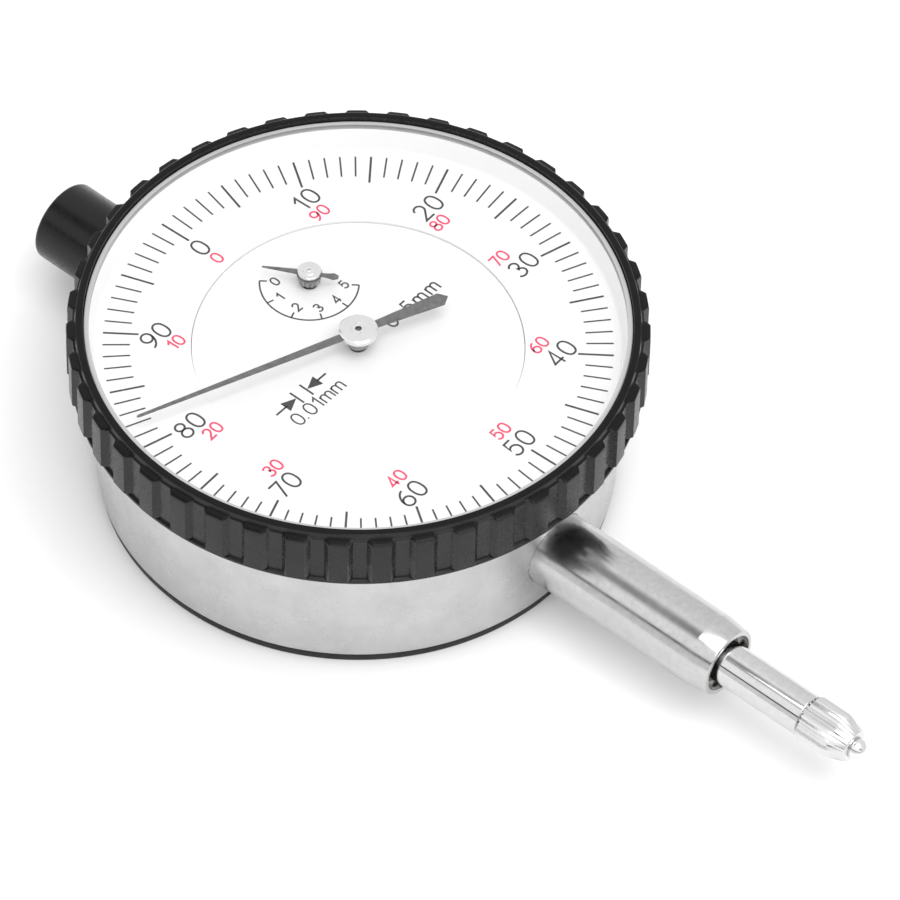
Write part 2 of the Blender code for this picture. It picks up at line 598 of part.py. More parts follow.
def guide_rail():
    """A slotted plate beside the spindle: the guide pin runs in it, so the spindle can't turn."""
    low, high = GUIDE_RAIL_Y
    bottom, top = GUIDE_RAIL_Z
    outline = [(low, bottom), (high, bottom), (high, top), (low, top)]
    radius = GUIDE_PIN_RADIUS + RUNNING
    start = GUIDE_PIN_Y - 0.4
    end = GUIDE_PIN_Y + TRAVEL + 0.4
    quarter = math.pi / 2
    slot = [(end + radius * math.sin(index * quarter / 3), AXIS_Z - radius * math.cos(index * quarter / 3))
            for index in range(7)]
    slot += [(start - radius * math.sin(index * quarter / 3), AXIS_Z + radius * math.cos(index * quarter / 3))
             for index in range(7)]
    add_object("guide_rail", plate_mesh(outline, *GUIDE_RAIL_X, [slot]), BRASS, turn=(90, 0, 90))


def main_spring():
    """The tension spring that draws the spindle out; it hooks on the guide pin and on a post."""
    bm = turned_mesh(cylinder_profile(SPRING_POST_RADIUS, AXIS_Z - 2, WEB_Z[0] - GAP), SMALL)
    add_object("spring_post", bm, POLISHED_STEEL, (SPRING_X, SPRING_POST_Y, 0))
    start = SPRING_POST_Y + SPRING_POST_RADIUS + 0.6
    end = GUIDE_PIN_Y - GUIDE_PIN_RADIUS - 0.6
    steps = SPRING_STEPS * SPRING_TURNS
    curve = bpy.data.curves.new("main_spring", "CURVE")
    curve.dimensions = "3D"
    curve.bevel_depth = SPRING_WIRE * MM
    curve.bevel_resolution = 0
    curve.use_fill_caps = True
    line = curve.splines.new("POLY")
    line.points.add(steps)
    for index, point in enumerate(line.points):
        angle = math.tau * index / SPRING_STEPS
        point.co = (SPRING_RADIUS * MM * math.cos(angle), (start + (end - start) * index / steps) * MM,
                    SPRING_RADIUS * MM * math.sin(angle), 1)
    item = bpy.data.objects.new("main_spring", curve)
    item.location = (SPRING_X * MM, 0, AXIS_Z * MM)
    bpy.context.collection.objects.link(item)
    curve.materials.append(finish_material("main_spring", SPRING_STEEL))


def hub(name, place, head, neck, bore_top):
    radius, low, high = head
    profile = [(0, bore_top), (HUB_BORE, bore_top), (HUB_BORE, HUB_BOTTOM), (neck, HUB_BOTTOM), (neck, low),
               (radius, low), (radius, high - 0.1), (radius - 0.15, high), (0, high)]
    add_object(name, turned_mesh(profile, 24), SATIN_STEEL, (*place, 0))


def hand(name, place, heights, eye_radii, tip, tail, widths, turn):
    """A flat hand that points along +Y before it is turned; its eye is a ring round the hub."""
    tip_width, root_width, tail_width = widths
    low, high = heights
    eye, eye_hole = eye_radii
    blade = [(-tail_width / 2, -tail), (tail_width / 2, -tail), (root_width / 2, 0), (tip_width / 2, tip),
             (-tip_width / 2, tip), (-root_width / 2, 0)]
    item = add_object(name, plate_mesh(blade, low, high), GREY_PAINT, (*place, 0), (0, 0, turn))
    disc = turned_mesh(cylinder_profile(eye, low, high), 24)
    combine_turned(item, cutter(name + "_eye", [disc]), "UNION")
    hole = turned_mesh(cylinder_profile(eye_hole, low - 1, high + 1), 24)
    combine_turned(item, cutter(name + "_hole", [hole]), "DIFFERENCE")


def combine_turned(target, tool, operation):
    """Combine with a tool that is drawn in the target's own axes."""
    combine(target, tool, operation)
    tool.matrix_parent_inverse.identity()


def hands():
    hub("long_hand_hub", (0, 0), LONG_HUB_HEAD, LONG_HUB_NECK, LONG_HUB_BORE_TOP)
    hand("long_hand", (0, 0), LONG_HAND_Z, (LONG_HAND_EYE, LONG_HUB_NECK + 0.15), LONG_HAND_TIP,
         LONG_HAND_TAIL, LONG_HAND_WIDTHS, LONG_HAND_ANGLE)
    hub("short_hand_hub", SUB_DIAL, SHORT_HUB_HEAD, SHORT_HUB_NECK, SHORT_HUB_BORE_TOP)
    hand("short_hand", SUB_DIAL, SHORT_HAND_Z, (SHORT_HAND_EYE, SHORT_HUB_NECK + 0.1), SHORT_HAND_TIP,
         SHORT_HAND_TAIL, SHORT_HAND_WIDTHS, SHORT_HAND_ANGLE)


def build():
    clear_scene()
    back_cover()
    case()
    bezel_group()
    inner_dial()
    stem()
    dust_cap()
    spindle_group()
    plates()
    gear_train()
    hairspring()
    guide_rail()
    main_spring()
    hands()


build()
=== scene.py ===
"""The finished look of the dial indicator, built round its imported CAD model.

Sizes are in millimetres unless a name says otherwise, and MM turns them into metres. Angles are in
degrees. On the dial, an angle is counted clockwise from +Y as the reader sees it.
"""
import json
import math

import bmesh
import bpy
from mathutils import Matrix, Vector

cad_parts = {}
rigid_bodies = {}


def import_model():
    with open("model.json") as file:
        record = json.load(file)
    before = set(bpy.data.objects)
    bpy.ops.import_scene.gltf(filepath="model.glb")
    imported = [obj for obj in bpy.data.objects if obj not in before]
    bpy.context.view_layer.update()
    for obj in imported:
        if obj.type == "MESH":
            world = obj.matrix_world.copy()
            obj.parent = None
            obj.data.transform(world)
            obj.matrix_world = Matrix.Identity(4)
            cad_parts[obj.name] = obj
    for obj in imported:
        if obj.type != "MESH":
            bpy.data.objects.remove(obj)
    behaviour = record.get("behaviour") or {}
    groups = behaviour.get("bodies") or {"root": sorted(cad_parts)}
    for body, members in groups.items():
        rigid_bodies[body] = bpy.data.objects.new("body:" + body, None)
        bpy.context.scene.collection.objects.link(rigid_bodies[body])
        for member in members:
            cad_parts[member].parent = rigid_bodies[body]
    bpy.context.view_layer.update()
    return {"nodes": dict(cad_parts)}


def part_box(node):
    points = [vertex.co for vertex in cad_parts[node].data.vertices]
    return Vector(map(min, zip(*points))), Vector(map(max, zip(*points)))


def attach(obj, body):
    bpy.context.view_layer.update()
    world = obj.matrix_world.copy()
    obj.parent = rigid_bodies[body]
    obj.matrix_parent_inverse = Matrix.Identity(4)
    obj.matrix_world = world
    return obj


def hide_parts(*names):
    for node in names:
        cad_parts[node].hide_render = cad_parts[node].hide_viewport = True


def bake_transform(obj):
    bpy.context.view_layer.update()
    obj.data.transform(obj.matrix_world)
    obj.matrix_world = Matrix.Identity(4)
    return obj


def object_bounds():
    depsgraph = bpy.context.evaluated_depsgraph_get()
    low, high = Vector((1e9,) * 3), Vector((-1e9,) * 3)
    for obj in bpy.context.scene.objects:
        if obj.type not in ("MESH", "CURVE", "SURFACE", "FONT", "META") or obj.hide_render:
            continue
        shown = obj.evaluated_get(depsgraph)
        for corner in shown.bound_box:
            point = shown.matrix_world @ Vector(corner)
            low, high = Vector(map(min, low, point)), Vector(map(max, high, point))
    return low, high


for leftover in list(bpy.data.objects):
    bpy.data.objects.remove(leftover, do_unlink=True)

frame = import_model()

MM = 0.001
FINE = 192      # facets round the big turned parts
MEDIUM = 96     # facets round the stem and spindle
SMALL = 48      # facets round hubs, screws and arbors


def low(node):
    """A CAD node's lowest corner in millimetres."""
    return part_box(node)[0] / MM


def high(node):
    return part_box(node)[1] / MM


def centre(node):
    return (low(node) + high(node)) / 2


# ---------------------------------------------------------------- places read from the CAD model

AXIS_Z = centre("stem").z
CASE_RADIUS = high("case").x
CASE_BACK = low("case").z
CASE_NECK_TOP = high("case").z
BEZEL_BOTTOM = low("bezel").z
BEZEL_TOP = high("bezel").z
BEZEL_CREST = high("bezel").x
DIAL_TOP = high("outer_dial_ring").z
DIAL_BOTTOM = low("outer_dial_ring").z
DIAL_RADIUS = high("outer_dial_ring").x
DIAL_SPLIT = high("inner_dial_disc").x + 0.15
CRYSTAL_BOTTOM = low("crystal").z
CRYSTAL_TOP = high("crystal").z
CRYSTAL_RADIUS = high("crystal").x
SUB_DIAL = centre("short_hand_arbor")
STEM_END_Y = low("stem").y
SPINDLE_RADIUS = high("spindle").x
SPINDLE_LOW_Y = low("spindle").y
SPINDLE_HIGH_Y = high("spindle").y
CONTACT_RADIUS = high("contact_point").x
BALL_RADIUS = high("contact_ball").x
BALL_Y = centre("contact_ball").y
CAP_RADIUS = high("dust_cap").x
CAP_LOW_Y = low("dust_cap").y
CAP_HIGH_Y = high("dust_cap").y
COVER_RADIUS = high("back_cover").x
COVER_TOP = high("back_cover").z
SCREW_PLACES = [centre(f"back_cover_screw_{number}") for number in (1, 2, 3, 4)]

# ---------------------------------------------------------------- sizes shared by several pieces

STEM_RADIUS = 4.0
CAP_BORE = 3.3
DIAL_HOLE = 0.9           # in the dial, round each hand's arbor
CASE_ARBOR_HOLE = 1.2     # in the case's web, round the short hand's arbor
HUB_BORE = 0.8            # in both hands' hubs


# ---------------------------------------------------------------- shapes

def fillet(corners, steps=4):
    """Round an outline: each corner is (radius, height) or (radius, height, rounding)."""
    count = len(corners)
    outline = []
    for index, corner in enumerate(corners):
        here = Vector(corner[:2])
        rounding = corner[2] if len(corner) > 2 else 0
        if rounding == 0:
            outline.append(tuple(here))
            continue
        before = Vector(corners[index - 1][:2]) - here
        after = Vector(corners[(index + 1) % count][:2]) - here
        half = before.angle(after) / 2
        reach = rounding / math.tan(half)
        middle = here + (before.normalized() + after.normalized()).normalized() * rounding / math.sin(half)
        start = here + before.normalized() * reach - middle
        end = here + after.normalized() * reach - middle
        sweep = start.angle_signed(end)
        for step in range(steps + 1):
            turned = Matrix.Rotation(-sweep * step / steps, 2) @ start
            outline.append(tuple(middle + turned))
    return outline


def ring_angles(count):
    return [math.tau * index / count for index in range(count)]


def revolve(outline, angles, radius_at=None):
    """Turn an outline of (radius, height) round Z; one that starts and ends on the axis is solid."""
    bm = bmesh.new()
    solid = outline[0][0] == 0 and outline[-1][0] == 0
    poles = {}
    columns = []
    for angle in angles:
        column = []
        for index, (radius, height) in enumerate(outline):
            if radius == 0:
                if index not in poles:
                    poles[index] = bm.verts.new((0, 0, height * MM))
                column.append(poles[index])
                continue
            if radius_at:
                radius = radius_at(radius, height, angle)
            column.append(bm.verts.new((radius * math.cos(angle) * MM, radius * math.sin(angle) * MM,
                                        height * MM)))
        columns.append(column)
    rows = len(outline) - 1 if solid else len(outline)
    for column, following in zip(columns, columns[1:] + columns[:1]):
        for row in range(rows):
            upper = (row + 1) % len(outline)
            corners = [column[row], following[row], following[upper], column[upper]]
            face = list(dict.fromkeys(corners))
            if len(face) > 2:
                bm.faces.new(face)
    bmesh.ops.recalc_face_normals(bm, faces=bm.faces)
    return bm


def add_piece(name, bm, material, body, nodes=(), place=(0, 0, 0), turn=None, sharp=32):
    """Make a piece from a bmesh, let it ride on a body and stand for the named CAD nodes."""
    mesh = bpy.data.meshes.new(name)
    bm.to_mesh(mesh)
    bm.free()
    mesh.shade_smooth()
    mesh.set_sharp_from_angle(angle=math.radians(sharp))
    mesh.materials.append(material)
    piece = bpy.data.objects.new(name, mesh)
    bpy.context.scene.collection.objects.link(piece)
    if turn is not None:
        mesh.transform(turn)
    mesh.transform(Matrix.Translation(Vector(place) * MM))
    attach(piece, body)
    if nodes:
        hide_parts(*nodes)
    return piece


ALONG_Y = Matrix.Rotation(math.radians(-90), 4, "X")     # a turned part's height becomes row Y
ON_AXIS = (0, 0, AXIS_Z)


def cut(piece, tools, operation="DIFFERENCE"):
    """Apply Booleans to a piece and drop the tools."""
    for tool_mesh in tools:
        mesh = bpy.data.meshes.new("tool")
        tool_mesh.to_mesh(mesh)
        tool_mesh.free()
        tool = bpy.data.objects.new("tool", mesh)
        bpy.context.scene.collection.objects.link(tool)
        modifier = piece.modifiers.new("cut", "BOOLEAN")
        modifier.operation = operation
        modifier.solver = "EXACT"
        modifier.object = tool
        bpy.context.view_layer.update()
        evaluated = piece.evaluated_get(bpy.context.evaluated_depsgraph_get())
        result = bpy.data.meshes.new_from_object(evaluated)
        result.set_sharp_from_angle(angle=math.radians(32))
        piece.modifiers.remove(modifier)
        piece.data = result
        bpy.data.objects.remove(tool, do_unlink=True)


def shifted(bm, place, turn=None):
    """Turn a mesh about the origin, if asked, and then move it."""
    if turn is not None:
        bmesh.ops.transform(bm, matrix=turn, verts=bm.verts)
    bmesh.ops.translate(bm, verts=bm.verts, vec=Vector(place) * MM)
    return bm


def cylinder(radius, bottom, top, segments=SMALL):
    """A closed cylinder about Z, for cutting and joining."""
    return revolve([(0, bottom), (radius, bottom), (radius, top), (0, top)], ring_angles(segments))


def clockwise(radius, degrees, middle=(0, 0)):
    """A point on the dial, at an angle counted clockwise from +Y."""
    angle = math.radians(degrees)
    return middle[0] + radius * math.sin(angle), middle[1] + radius * math.cos(angle)


def arc(middle, radius_x, radius_y, start, end, steps=12):
    """Points of an elliptic arc; its angles run anticlockwise from +X."""
    points = []
    for step in range(steps + 1):
        angle = math.radians(start + (end - start) * step / steps)
        points.append((middle[0] + radius_x * math.cos(angle), middle[1] + radius_y * math.sin(angle)))
    return points


def nought(half_width, half_height, power, steps=32):
    """A closed oval a little squarer than an ellipse, standing on the line."""
    points = []
    for step in range(steps + 1):
        angle = math.tau * step / steps
        across, up = math.cos(angle), math.sin(angle)
        points.append((half_width * (1 + math.copysign(abs(across) ** (2 / power), across)),
                       half_height * (1 + math.copysign(abs(up) ** (2 / power), up))))
    return points


def stroke(bm, points, width, bottom, top):
    """Draw a line of ink as a thin raised ribbon; a line that ends where it starts is closed."""
    points = [Vector(point) for point in points]
    closed = (points[0] - points[-1]).length < 1e-6
    if closed:
        points.pop()
    count = len(points)
    sections = []
    for index, point in enumerate(points):
        ahead = points[(index + 1) % count] - point
        behind = point - points[index - 1]
        if not closed and index == 0:
            behind = ahead
        if not closed and index == count - 1:
            ahead = behind
        along = (ahead.normalized() + behind.normalized()).normalized()
        side = Vector((-along.y, along.x)) * width / 2 / max(0.4, along.dot(ahead.normalized()))
        sections.append([bm.verts.new((*(spot * MM), height * MM))
                         for spot, height in ((point - side, bottom), (point + side, bottom),
                                              (point + side, top), (point - side, top))])
    for index in range(count if closed else count - 1):
        first, second = sections[index], sections[(index + 1) % count]
        for corner in range(4):
            bm.faces.new((first[corner], first[corner - 1], second[corner - 1], second[corner]))
    if not closed:
        bm.faces.new(sections[0])
        bm.faces.new(sections[-1][::-1])


def filled(bm, outline, bottom, top):
    """A flat shape with straight sides between two heights."""
    lower = [bm.verts.new((x * MM, y * MM, bottom * MM)) for x, y in outline]
    upper = [bm.verts.new((x * MM, y * MM, top * MM)) for x, y in outline]
    bm.faces.new(lower[::-1])
    bm.faces.new(upper)
    for index in range(len(outline)):
        bm.faces.new((lower[index - 1], lower[index], upper[index], upper[index - 1]))


# ---------------------------------------------------------------- lettering, as monoline strokes

# Each sign's width and strokes, for a capital height of 1.
GLYPHS = {
    "0": (0.62, [nought(0.31, 0.5, 2.3)]),
    "1": (0.36, [[(0.02, 0.74), (0.30, 1.0), (0.30, 0.0)]]),
    "2": (0.60, [arc((0.29, 0.71), 0.28, 0.29, 165, -38) + [(0.0, 0.0), (0.60, 0.0)]]),
    "3": (0.60, [arc((0.29, 0.755), 0.255, 0.245, 155, -90)
                 + arc((0.29, 0.255), 0.30, 0.255, 90, -155)]),
    "4": (0.64, [[(0.47, 0.0), (0.47, 1.0), (0.0, 0.25), (0.64, 0.25)]]),
    "5": (0.60, [[(0.54, 1.0), (0.12, 1.0), (0.06, 0.52)] + arc((0.29, 0.33), 0.31, 0.33, 130, -152)]),
    "6": (0.60, [arc((0.31, 0.30), 0.29, 0.30, 0, 360, 24), arc((0.62, 0.30), 0.60, 0.70, 180, 98)]),
    "7": (0.58, [[(0.0, 1.0), (0.58, 1.0), (0.20, 0.0)]]),
    "8": (0.60, [arc((0.30, 0.27), 0.30, 0.27, -90, 270, 24),
                 arc((0.30, 0.77), 0.25, 0.23, -90, 270, 24)]),
    "9": (0.60, [arc((0.29, 0.70), 0.29, 0.30, 0, 360, 24), arc((-0.02, 0.70), 0.60, 0.70, 0, -82)]),
    "m": (0.84, [[(0.0, 0.0), (0.0, 0.70)],
                 [(0.0, 0.48)] + arc((0.21, 0.49), 0.21, 0.21, 180, 0) + [(0.42, 0.0)],
                 [(0.42, 0.48)] + arc((0.63, 0.49), 0.21, 0.21, 180, 0) + [(0.84, 0.0)]]),
    ".": (0.12, [[(0.0, 0.0), (0.0, 0.1)]]),
    "-": (0.34, [[(0.0, 0.36), (0.34, 0.36)]]),
}


def letter(bm, text, middle, height, width, turn, bottom, top, spacing=0.22):
    """Write text centred on a point; turn is clockwise, in degrees."""
    length = sum(GLYPHS[sign][0] for sign in text) + spacing * (len(text) - 1)
    place = Matrix.Rotation(math.radians(-turn), 2)
    pen = -length / 2
    for sign in text:
        advance, strokes = GLYPHS[sign]
        for line in strokes:
            points = [Vector(middle) + place @ (Vector((pen + x, y - 0.5)) * height) for x, y in line]
            stroke(bm, points, width, bottom, top)
        pen += advance + spacing


# ---------------------------------------------------------------- materials

def new_material(name, colour, roughness, metallic=0.0):
    """A Principled material; returns it with its node tree and shader."""
    material = bpy.data.materials.new(name)
    material.use_nodes = True
    tree = material.node_tree
    shader = tree.nodes["Principled BSDF"]
    shader.inputs["Base Color"].default_value = (*colour, 1)
    shader.inputs["Roughness"].default_value = roughness
    shader.inputs["Metallic"].default_value = metallic
    return material, tree, shader


def add_node(tree, kind, settings=(), **inputs):
    """Make a node; settings are its own properties and inputs are socket values or links."""
    node = tree.nodes.new(kind)
    for key, value in dict(settings).items():
        setattr(node, key, value)
    for key, value in inputs.items():
        socket = node.inputs[key.replace("_", " ")]
        if isinstance(value, bpy.types.NodeSocket):
            tree.links.new(value, socket)
        else:
            socket.default_value = value
    return node


def noise(tree, scale, stretch=(1, 1, 1), detail=3.0, roughness=0.5):
    """Noise in object space, with features of about 1/scale metres; stretch sets the grain."""
    where = add_node(tree, "ShaderNodeTexCoord").outputs["Object"]
    mapping = add_node(tree, "ShaderNodeMapping", Vector=where, Scale=stretch)
    return add_node(tree, "ShaderNodeTexNoise", Vector=mapping.outputs["Vector"], Scale=scale,
                    Detail=detail, Roughness=roughness).outputs["Fac"]


def spread(tree, value, lowest, highest, start=0.3, end=0.7):
    """Stretch a 0 to 1 pattern between two numbers."""
    node = add_node(tree, "ShaderNodeMapRange", Value=value)
    for key, number in (("From Min", start), ("From Max", end), ("To Min", lowest), ("To Max", highest)):
        node.inputs[key].default_value = number
    return node.outputs["Result"]


def tint(tree, value, first, second, start=0.3, end=0.7):
    """Colour that runs from one to another along a pattern."""
    ramp = add_node(tree, "ShaderNodeValToRGB", Fac=value)
    ramp.color_ramp.elements[0].position = start
    ramp.color_ramp.elements[0].color = (*first, 1)
    ramp.color_ramp.elements[1].position = end
    ramp.color_ramp.elements[1].color = (*second, 1)
    return ramp.outputs["Color"]


def bump(tree, shader, height, distance, strength=1.0):
    node = add_node(tree, "ShaderNodeBump", Height=height, Strength=strength, Distance=distance * MM)
    tree.links.new(node.outputs["Normal"], shader.inputs["Normal"])


def grey(value):
    return value, value, value


def plated_steel(name, level, roughness, mottle=0.04):
    """Satin chrome: a bright metal with faint blotches, a fine grain and a few dull patches."""
    material, tree, shader = new_material(name, grey(level), roughness, 1.0)
    blotches = noise(tree, 260, detail=4.0, roughness=0.6)
    tree.links.new(tint(tree, blotches, grey(level - mottle), grey(level + mottle)),
                   shader.inputs["Base Color"])
    dull = noise(tree, 700, detail=5.0, roughness=0.65)
    tree.links.new(spread(tree, dull, roughness - 0.06, roughness + 0.08), shader.inputs["Roughness"])
    bump(tree, shader, noise(tree, 2600, detail=3.0), 0.0015, 0.5)
    return material


def turned_steel(name, level, roughness):
    """Ground and polished steel: faint mottling, with fine rings round the stem's axis."""
    material, tree, shader = new_material(name, grey(level), roughness, 1.0)
    rings = noise(tree, 3200, (0.08, 1, 0.08), detail=4.0)
    mottling = noise(tree, 1400, detail=5.0, roughness=0.7)
    tree.links.new(tint(tree, mottling, grey(level - 0.045), grey(level + 0.035)),
                   shader.inputs["Base Color"])
    tree.links.new(spread(tree, noise(tree, 500, detail=4.0), roughness - 0.03, roughness + 0.05),
                   shader.inputs["Roughness"])
    bump(tree, shader, rings, 0.001, 0.4)
    return material


def black_anodised(name, level=0.009, roughness=0.28, specks=0.22, specular=0.32):
    """Black finish on machined aluminium: slight cloudiness and a fine tooling grain."""
    material, tree, shader = new_material(name, grey(level), roughness)
    shader.inputs["Specular IOR Level"].default_value = specular
    clouds = noise(tree, 420, detail=4.0)
    tree.links.new(tint(tree, clouds, grey(level * 0.75), grey(level * 1.35)), shader.inputs["Base Color"])
    grain = noise(tree, 2400, detail=4.0, roughness=0.7)
    tree.links.new(spread(tree, grain, roughness - 0.10, roughness + 0.12), shader.inputs["Roughness"])
    bump(tree, shader, grain, 0.006, specks)
    return material


def dial_enamel(name, level):
    """Matt white printed aluminium, very slightly uneven."""
    material, tree, shader = new_material(name, grey(level), 0.5)
    tree.links.new(tint(tree, noise(tree, 180), grey(level - 0.008), grey(level + 0.012)),
                   shader.inputs["Base Color"])
    bump(tree, shader, noise(tree, 5200, detail=2.0), 0.002, 0.3)
    return material


def ink(name, colour):
    """Screen printing ink: a little uneven in density."""
    material, tree, shader = new_material(name, colour, 0.55)
    dense = tuple(channel * 0.85 for channel in colour)
    thin = tuple(min(1, channel * 1.25) for channel in colour)
    tree.links.new(tint(tree, noise(tree, 3000), dense, thin), shader.inputs["Base Color"])
    bump(tree, shader, noise(tree, 6000), 0.002, 0.3)
    return material


def hand_paint(name, level):
    """Dark grey paint over metal, with a fine even grain."""
    material, tree, shader = new_material(name, grey(level), 0.42, 0.35)
    grain = noise(tree, 1800, detail=5.0, roughness=0.7)
    tree.links.new(tint(tree, grain, grey(level * 0.6), grey(level * 1.5)), shader.inputs["Base Color"])
    bump(tree, shader, grain, 0.004, 0.6)
    return material


def brass(name, colour=(0.78, 0.58, 0.27), roughness=0.28):
    """Drawn brass or bronze, a little uneven in colour."""
    material, tree, shader = new_material(name, colour, roughness, 1.0)
    darker = tuple(channel * 0.85 for channel in colour)
    tree.links.new(tint(tree, noise(tree, 500, detail=4.0), darker, colour), shader.inputs["Base Color"])
    bump(tree, shader, noise(tree, 2500, (1, 0.1, 1)), 0.003, 0.5)
    return material


def crystal_clear(name):
    """Thin acrylic pane: seen straight through, with a Fresnel reflection and a trace of smear."""
    material = bpy.data.materials.new(name)
    material.use_nodes = True
    tree = material.node_tree
    tree.nodes.remove(tree.nodes["Principled BSDF"])
    clear = add_node(tree, "ShaderNodeBsdfTransparent", Color=(0.99, 0.99, 0.99, 1))
    gloss = add_node(tree, "ShaderNodeBsdfAnisotropic", Color=(1, 1, 1, 1),
                     Roughness=spread(tree, noise(tree, 120), 0.01, 0.05))
    fresnel = add_node(tree, "ShaderNodeFresnel", IOR=1.45)
    outside = add_node(tree, "ShaderNodeMath", {"operation": "SUBTRACT"})
    outside.inputs[0].default_value = 1
    tree.links.new(add_node(tree, "ShaderNodeNewGeometry").outputs["Backfacing"], outside.inputs[1])
    share = add_node(tree, "ShaderNodeMath", {"operation": "MULTIPLY"})
    tree.links.new(fresnel.outputs["Fac"], share.inputs[0])
    tree.links.new(outside.outputs["Value"], share.inputs[1])
    mixed = add_node(tree, "ShaderNodeMixShader", Fac=share.outputs["Value"])
    tree.links.new(clear.outputs["BSDF"], mixed.inputs[1])
    tree.links.new(gloss.outputs["BSDF"], mixed.inputs[2])
    tree.links.new(mixed.outputs["Shader"], tree.nodes["Material Output"].inputs["Surface"])
    return material


def floor_paper(name):
    """Matt white paper under the object."""
    material, tree, shader = new_material(name, grey(0.96), 0.9)
    tree.links.new(tint(tree, noise(tree, 30), grey(0.955), grey(0.965)), shader.inputs["Base Color"])
    return material


CASE_STEEL = plated_steel("case_steel", 0.56, 0.30)
STEM_STEEL = turned_steel("stem_steel", 0.56, 0.17)
SPINDLE_STEEL = turned_steel("spindle_steel", 0.64, 0.09)
KNURL_STEEL = plated_steel("knurl_steel", 0.68, 0.20)
BALL_STEEL = plated_steel("ball_steel", 0.75, 0.06, mottle=0.02)
HUB_STEEL = plated_steel("hub_steel", 0.80, 0.16, mottle=0.03)
# Dark steel for the hubs' centre holes and the parts under their heads and hands: painted shade.
SHADED_HUB_STEEL = plated_steel("hub_steel_painted_shade", 0.30, 0.25)
FROSTED_EDGE = dial_enamel("frosted_edge", 0.48)
BEZEL_BLACK = black_anodised("bezel_black", specks=0.1)
# Black for the bezel's up-facing top: a glossier real finish, with painted shade in its darker colour and
# weaker reflection.
SHADED_RIM_BLACK = black_anodised("rim_black_painted_shade", 0.003, 0.2, 0.05, 0.18)
CAP_BLACK = black_anodised("cap_black", 0.003, 0.26, 0.15)
COVER_BLACK = black_anodised("cover_black", 0.012, 0.42, 0.8)
ENAMEL = dial_enamel("dial_enamel", 0.82)
WALL_WHITE = dial_enamel("wall_white", 0.88)
BLACK_INK = ink("black_ink", grey(0.022))
RED_INK = ink("red_ink", (0.74, 0.035, 0.12))
HAND_GREY = hand_paint("hand_grey", 0.12)
MOVEMENT_BRASS = brass("movement_brass")
BUSH_BRONZE = brass("bush_bronze", (0.16, 0.125, 0.10), 0.42)     # very dark bronze
SPRING_WIRE = turned_steel("spring_wire", 0.5, 0.25)
CRYSTAL_CLEAR = crystal_clear("crystal_clear")


# ---------------------------------------------------------------- case, cover and bezel

def finish_faces(piece, material, picks):
    """A second finish for the faces the test picks by their centre, in millimetres, and normal."""
    piece.data.materials.append(material)
    for face in piece.data.polygons:
        if picks(face.center / MM, face.normal):
            face.material_index = 1


def case():
    """Drum with a web near the top and the grooved neck on which the bezel turns."""
    wall_inner = CASE_RADIUS - 1.7
    shoulder = BEZEL_BOTTOM - 0.3
    neck = CASE_RADIUS - 1.0
    neck_inner = neck - 1.2
    web_bottom, web_top, web_inner = 15.0, 16.4, 2.0
    groove_low, groove_high, groove = 15.2, 16.2, 24.9
    outline = fillet([(wall_inner, CASE_BACK), (CASE_RADIUS, CASE_BACK, 0.25), (CASE_RADIUS, shoulder, 0.15),
                      (neck, shoulder), (neck, groove_low), (groove, groove_low), (groove, groove_high),
                      (neck, groove_high), (neck, CASE_NECK_TOP, 0.1), (neck_inner, CASE_NECK_TOP),
                      (neck_inner, web_top), (web_inner, web_top), (web_inner, web_bottom),
                      (wall_inner, web_bottom)])
    piece = add_piece("case_body", revolve(outline, ring_angles(FINE)), CASE_STEEL, "housing", ["case"])
    stem_hole = shifted(cylinder(STEM_RADIUS + 0.03, -30, -20, MEDIUM), ON_AXIS, ALONG_Y)
    cap_hole = shifted(cylinder(CAP_BORE, 20, 30, MEDIUM), ON_AXIS, ALONG_Y)
    arbor_hole = shifted(cylinder(CASE_ARBOR_HOLE, web_bottom - 1, web_top + 1.6),
                         (SUB_DIAL.x, SUB_DIAL.y, 0))
    cut(piece, [stem_hole, cap_hole, arbor_hole])


def back_cover():
    """Flat plate held by four countersunk cross-head screws."""
    top = COVER_TOP + 0.15
    outline = fillet([(0, 0), (COVER_RADIUS, 0, 0.2), (COVER_RADIUS, top, 0.1), (0, top)])
    piece = add_piece("back_cover_plate", revolve(outline, ring_angles(FINE)), COVER_BLACK, "housing",
                      ["back_cover"])
    sink_bore = 1.0
    sink = [(0, -1), (2.45, -1), (sink_bore, 0.8), (sink_bore, 2), (0, 2)]
    cut(piece, [shifted(revolve(sink, ring_angles(SMALL)), (place.x, place.y, 0)) for place in SCREW_PLACES])
    head_low, head_radius, shank, shank_end = 0.08, 1.4, 0.7, 4.9
    slot_reach, slot_half, slot_depth = 0.95, 0.16, 0.55
    for number, place in enumerate(SCREW_PLACES, 1):
        head = fillet([(0, head_low), (head_radius, head_low, 0.06), (shank, 0.85),
                       (shank, shank_end, 0.1), (0, shank_end)])
        screw = add_piece(f"cover_screw_{number}", revolve(head, ring_angles(SMALL)), SPRING_WIRE, "housing",
                          [f"back_cover_screw_{number}"], (place.x, place.y, 0))
        slots = []
        for half_x, half_y in ((slot_reach, slot_half), (slot_half, slot_reach)):
            slot = bmesh.new()
            corners = [(-half_x, -half_y), (half_x, -half_y), (half_x, half_y), (-half_x, half_y)]
            filled(slot, [(place.x + x, place.y + y) for x, y in corners], -0.5, slot_depth)
            slots.append(slot)
        cut(screw, slots)


TEETH = 43
TOOTH_DEPTH = 0.62
TOOTH_PHASE = -127.3      # a crest's middle, clockwise from +Y
CREST_HALF = 0.215        # in tooth pitches, from the crest's middle
FLANK_END = 0.34
KNURL_LOW = 15.5
KNURL_HIGH = 21.2
SEAT_RADIUS = CRYSTAL_RADIUS + 0.3


